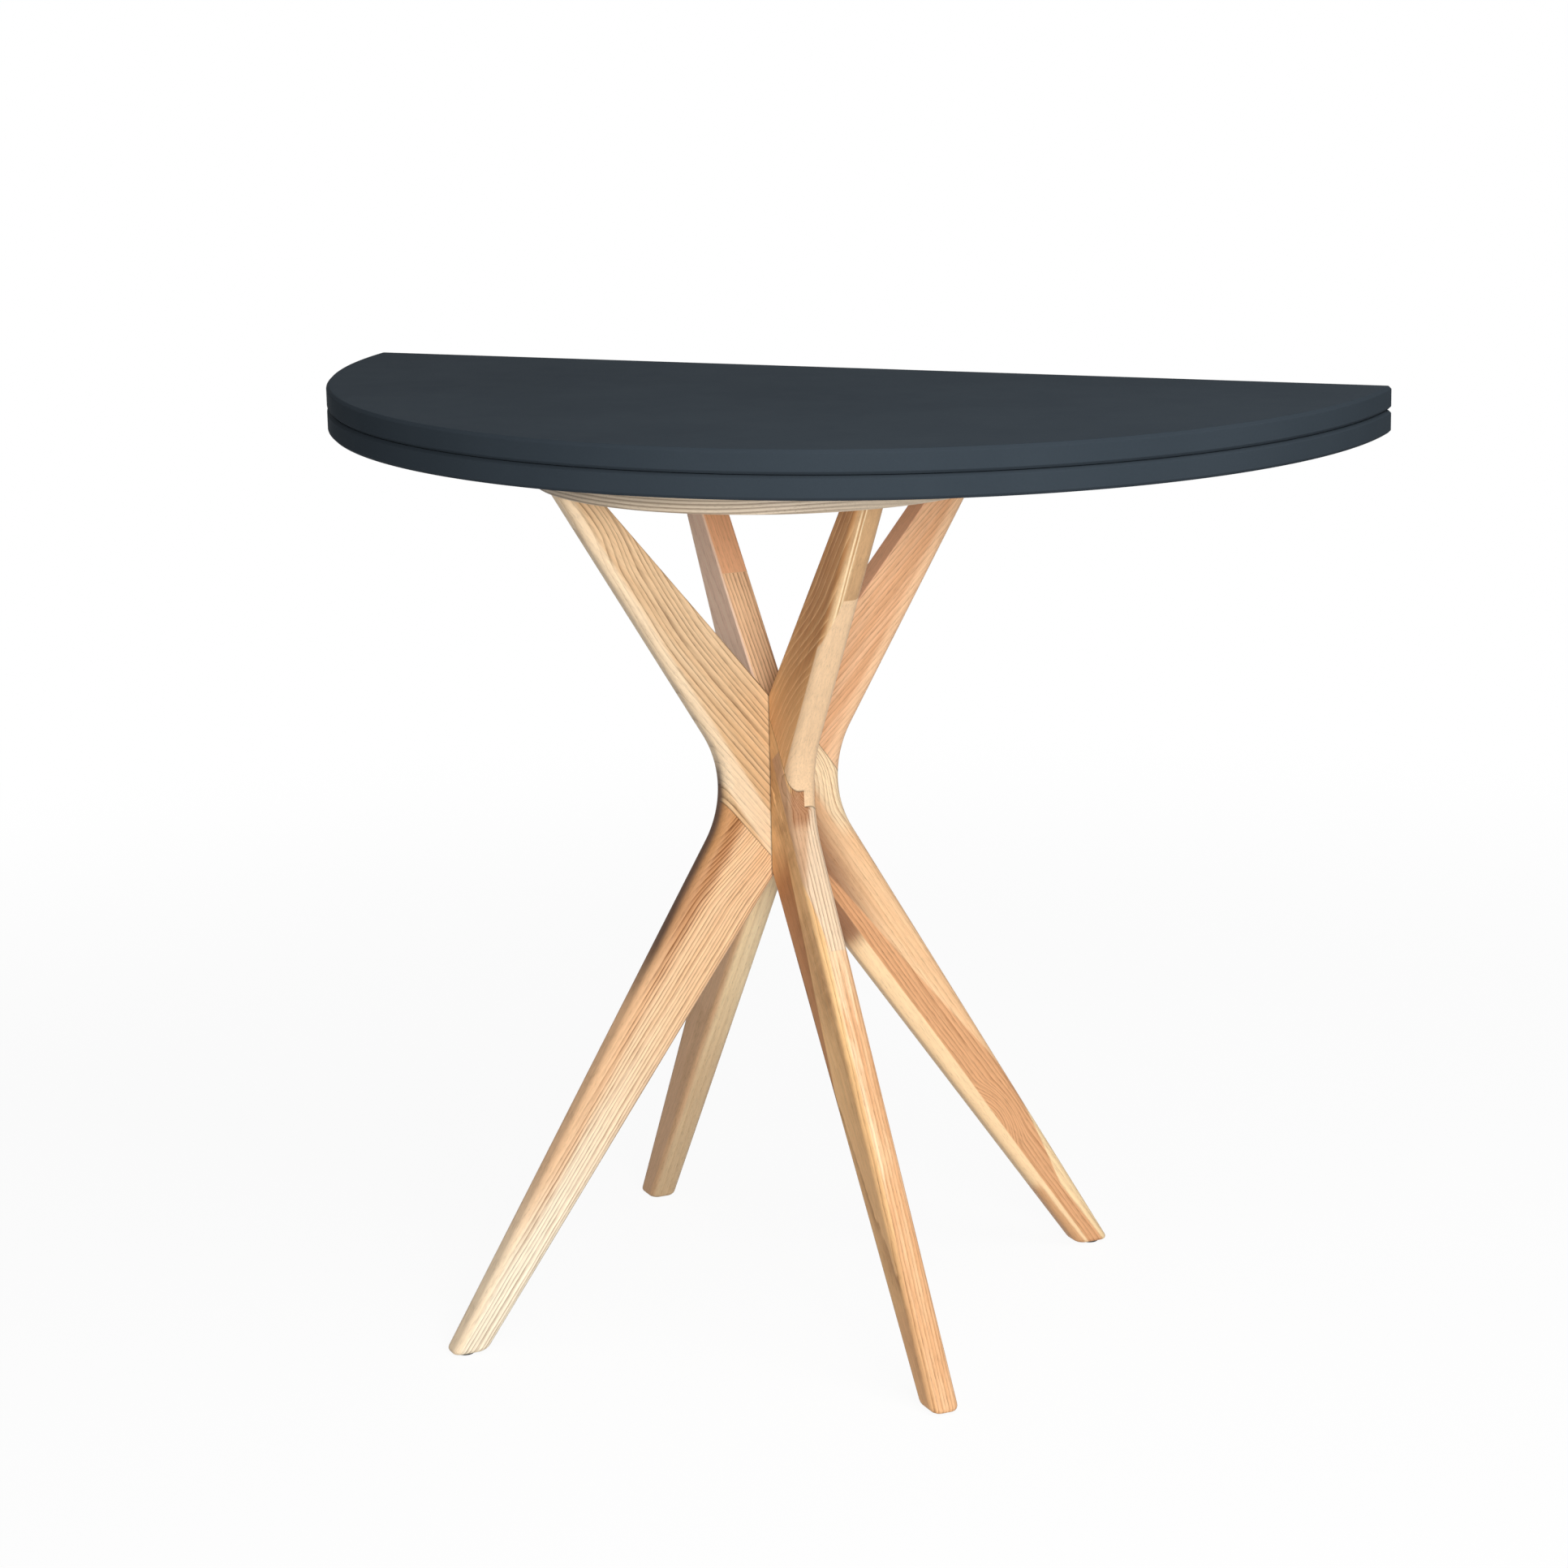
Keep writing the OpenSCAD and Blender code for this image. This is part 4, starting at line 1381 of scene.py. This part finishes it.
WOODS = {
    "arm_front_left": Ash(
        slot="ash_tan", light=srgb(233, 201, 161), second=srgb(217, 177, 133), line=srgb(104, 70, 42),
        spacing=0.0043, pith_across=0.9, taper=-0.095, line_strength=0.88, seed=1.0,
        bow=Bow(reach=0.13, width=0.04, slant=-0.095),
        patches=(
            Patch(srgb(222, 178, 128), (Reach(-0.1, 0.07, 0.05),), 0.5),
            # Painted highlight: a paler band along the rounded outer edge, where the rings also show fainter.
            Patch(srgb(250, 226, 192), (Depth(-0.01, 0.0085, 0.002, wander=0.001),), 0.7, lines=0.4),
            Patch(HEARTWOOD, (Depth(-0.03, 0.016, 0.004),
                  Through(-0.03, 0.003, 0.004, wander=0.002), Reach(-0.2, 0.024, 0.01)), 0.8)),
        swirls=(
            Swirl(reach=0.245, across=0.014, radius=0.022, height=-0.006, stretch=2.4),)),
    "leg_front_left": Ash(
        slot="ash_cream", light=srgb(250, 210, 166), second=srgb(240, 194, 146), line=srgb(140, 90, 54),
        spacing=0.0034, pith_across=0.8, line_strength=0.95, sharp=2.6, seed=2.0,
        patches=(
            # Painted light: the lower leg paler toward the foot, for the light the floor throws up onto it.
            Patch(srgb(255, 244, 218), (Reach(0.28, 0.9, 0.16),), 0.95, lines=0.9),
            Patch(srgb(250, 216, 176), (Depth(-0.02, 0.005, 0.003),), 0.6, lines=0.1),
            Patch(srgb(190, 134, 88), (Depth(-0.03, 0.015, 0.006, wander=0.004),
                  Reach(-0.1, 0.17, 0.06)), 0.85, lines=1.9),
            Patch(srgb(228, 178, 132), (Depth(-0.03, 0.012, 0.005, wander=0.002),
                  Reach(0.14, 0.38, 0.06)), 0.7, lines=1.2),
            Patch(srgb(202, 148, 98), (Across(0.046, 0.2, 0.006, reach=-0.22, wander=0.003),
                  Reach(-0.1, 0.2, 0.05)), 0.8, lines=1.2),
            Patch(HEARTWOOD, (Depth(-0.03, 0.014, 0.003, wander=0.002),
                  Through(-0.03, 0.004, 0.006, wander=0.003), Reach(-0.1, 0.17, 0.04)), 0.9)),
        swirls=(
            Swirl(reach=0.0, across=0.08, radius=0.11, height=-0.028),)),
    "arm_front_right": Ash(
        slot="ash_honey", light=srgb(212, 156, 102), second=srgb(180, 122, 74), line=srgb(255, 212, 158),
        spacing=0.007, pith_across=0.9, line_strength=0.95, warp=0.0022, sharp=7.0, seed=3.0,
        tone_width=0.008, tone_strength=0.9,
        patches=(
            Patch(srgb(236, 186, 132), (Reach(-0.1, 0.09, 0.06), ARM_LEFT_FACE), 0.6),
            Patch(srgb(168, 114, 68), (Reach(0.15, 0.9, 0.04), ARM_LEFT_FACE), 0.4),
            Patch(srgb(200, 162, 120), (Depth(-0.02, 0.006, 0.001), Through(-0.0105, 0.02, 0.0015)),
                  0.9, lines=0.0),
            Patch(srgb(250, 214, 166), (ARM_ARRIS, Through(-0.0095, -0.0035, 0.0018, wander=0.001),
                  Reach(0.1, 0.24, 0.02)), 0.6, lines=0.5),
            Patch(srgb(255, 228, 184), (ARM_ARRIS, Through(-0.008, -0.0068, 0.0004, wander=0.0005),
                  Reach(0.11, 0.29, 0.03)), 0.85),
            Patch(srgb(166, 118, 76), (ARM_ARRIS, Through(-0.0064, -0.0056, 0.0003, wander=0.0005),
                  Reach(0.14, 0.9, 0.03)), 0.6),
            Patch(srgb(255, 232, 190), (ARM_ARRIS, Through(-0.0052, -0.0042, 0.0003, wander=0.0006),
                  Reach(0.15, 0.9, 0.03)), 0.6),
            Patch(srgb(236, 201, 161), (Depth(-0.02, 0.0065, 0.0008), Reach(-0.1, 0.1975, 0.0004),
                  Through(-0.0364, 1.0, 0.0006, reach=-0.167)), 1.0, lines=0.15)),
        swirls=(
            Swirl(reach=0.046, across=0.058, radius=0.15, height=-0.038),)),
    "leg_front_right": Ash(
        slot="ash_honey", light=srgb(253, 214, 172), second=srgb(224, 171, 125), line=srgb(140, 90, 54),
        spacing=0.0029, pith_across=0.05, pith_through=-0.4, taper=0.006, line_strength=0.5, sharp=3.0,
        tone_width=0.0045, tone_strength=1.0, seed=4.0,
        patches=(
            Patch(srgb(255, 208, 146), (LEG_LEFT_FACE,), 0.8, lines=1.4),
            Patch(srgb(228, 180, 128), (LEG_LEFT_FACE, Reach(0.26, 0.9, 0.08)), 0.75),
            Patch(srgb(226, 174, 126), (Through(0.0175, 1.0, 0.0008, reach=0.07),
                  Reach(0.12, 0.9, 0.06)), 0.65, lines=1.2),
            Patch(srgb(184, 124, 80), (Across(-0.1, 0.0476, 0.0012, reach=0.17, wander=0.0008),
                  Through(-0.03, -0.004, 0.003), Reach(0.045, 0.9, 0.02)), 0.85, lines=1.2),
            Patch(srgb(212, 172, 136), (Reach(-0.03, 0.1345, 0.0006), Depth(-0.01, 0.006, 0.001),
                  LEG_STREAK_SIDE), 1.0, lines=0.7),
            # Painted shade: dark brown on the face under the arm's end at the knee.
            Patch(srgb(176, 124, 86), (Depth(-0.05, 0.0075, 0.001), Reach(-0.04, 0.03, 0.006),
                  Through(-0.0105, 0.004, 0.0015)), 0.8, lines=2.4),
            Patch(srgb(246, 220, 188), (LEG_STREAK_SIDE, Through(0.0095, 1.0, 0.003, reach=0.25),
                  Reach(0.016, 0.1345, 0.0006), Depth(-0.01, 0.006, 0.001)), 0.9, lines=2.4)),
        swirls=(
            Swirl(reach=-0.002, across=0.074, radius=0.026, height=0.03, through=-0.001, thick=1.8),)),
    "arm_back_right": Ash(
        slot="ash_peach", light=srgb(240, 192, 150), second=srgb(220, 162, 116), line=srgb(150, 96, 60),
        spacing=0.0036, pith_across=0.9, taper=0.15, line_strength=0.6, seed=5.0,
        patches=(
            Patch(srgb(250, 208, 166), (Depth(-0.01, 0.011, 0.003, wander=0.001),), 0.7, lines=0.5),
            Patch(srgb(246, 192, 154), (Across(-0.02, 0.0008, 0.0003),), 0.9, lines=0.0))),
    "leg_back_right": Ash(
        slot="ash_cream", light=srgb(250, 208, 162), second=srgb(240, 192, 144), line=srgb(164, 110, 68),
        spacing=0.0038, taper=-0.02, line_strength=0.38, warp=0.0028, seed=6.0,
        patches=(
            Patch(srgb(255, 232, 192), (Depth(-0.02, 0.012, 0.003, wander=0.002),
                  Reach(-0.1, 0.045, 0.015)), 0.85, lines=2.4),
            # Painted shade: darker brown near the axis, where the front right leg shades this face.
            Patch(srgb(132, 90, 66), (Across(-0.1, 0.05, 0.018, reach=0.2),
                  Reach(-0.1, 0.14, 0.03)), 0.9),
            Patch(srgb(250, 216, 170), (Across(-1.0, 0.0148, 0.0007, reach=0.012),
                  Reach(0.13, 0.9, 0.01)), 0.9, lines=0.0),
            Patch(srgb(226, 170, 124), (Across(0.0148, 1.0, 0.0007, reach=0.012, wander=0.0006),
                  Across(-1.0, 0.0165, 0.001, reach=-0.075, wander=0.001), Reach(0.06, 0.9, 0.02)), 0.9,
                  lines=2.2),
            Patch(srgb(255, 226, 178), (Across(0.1135, 2.0, 0.0008, reach=0.217, wander=0.0006),
                  Across(0.0195, 1.0, 0.0008, wander=0.0006)), 0.9, lines=0.4),
            Patch(srgb(216, 164, 118), (Across(-0.1, 0.0055, 0.0012, wander=0.0012),
                  Reach(0.42, 0.9, 0.008)), 0.85, lines=1.2)),
        swirls=(
            Swirl(reach=0.34, across=0.004, radius=0.032, height=0.024, stretch=1.4),
            Swirl(reach=-0.02, across=0.06, radius=0.05, height=0.02))),
    "arm_back_left": Ash(
        slot="ash_pink", light=srgb(255, 212, 168), second=srgb(250, 196, 152), line=srgb(140, 84, 52),
        spacing=0.0032, pith_across=0.15, pith_through=0.6, taper=0.03, line_strength=0.85, sharp=2.4,
        seed=7.0,
        patches=(
            Patch(srgb(244, 184, 140), (Reach(0.15, 0.9, 0.0005), Across(-0.01, 0.012, 0.001)), 0.9,
                  lines=0.3, shift=0.1),
            # Painted light: the left face paler than the rest, lifting the shade that the top casts on it; its
            # lines show faint.
            Patch(srgb(255, 220, 194), (Through(0.0105, 0.02, 0.0008),), 0.9, lines=0.2))),
    "leg_back_left": Ash(
        slot="ash_khaki", light=srgb(252, 228, 186), second=srgb(242, 212, 166), line=srgb(184, 144, 102),
        spacing=0.007, pith_across=0.02, pith_through=0.2, line_strength=0.3, seed=8.0,
        patches=(
            Patch(srgb(218, 186, 146), (Reach(0.24, 0.9, 0.1),), 0.8),
            Patch(srgb(224, 178, 136), (Through(0.0095, 0.03, 0.002, wander=0.001),
                  Reach(0.05, 0.9, 0.1)), 0.9))),
}


def main() -> None:
    """Builds the table's looks around its frame, in order."""
    logging.basicConfig(level=logging.INFO, format="%(name)s: %(message)s")
    bpy.context.scene.view_settings.view_transform = "Standard"
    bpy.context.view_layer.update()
    Studio().build()
    Leaves().build(Lacquer())
    RoundPlate().build(PlateAsh())
    Legs().build(WOODS)
    Hardware().build()
    Shape.clear()


if __name__ == "__main__":
    main()
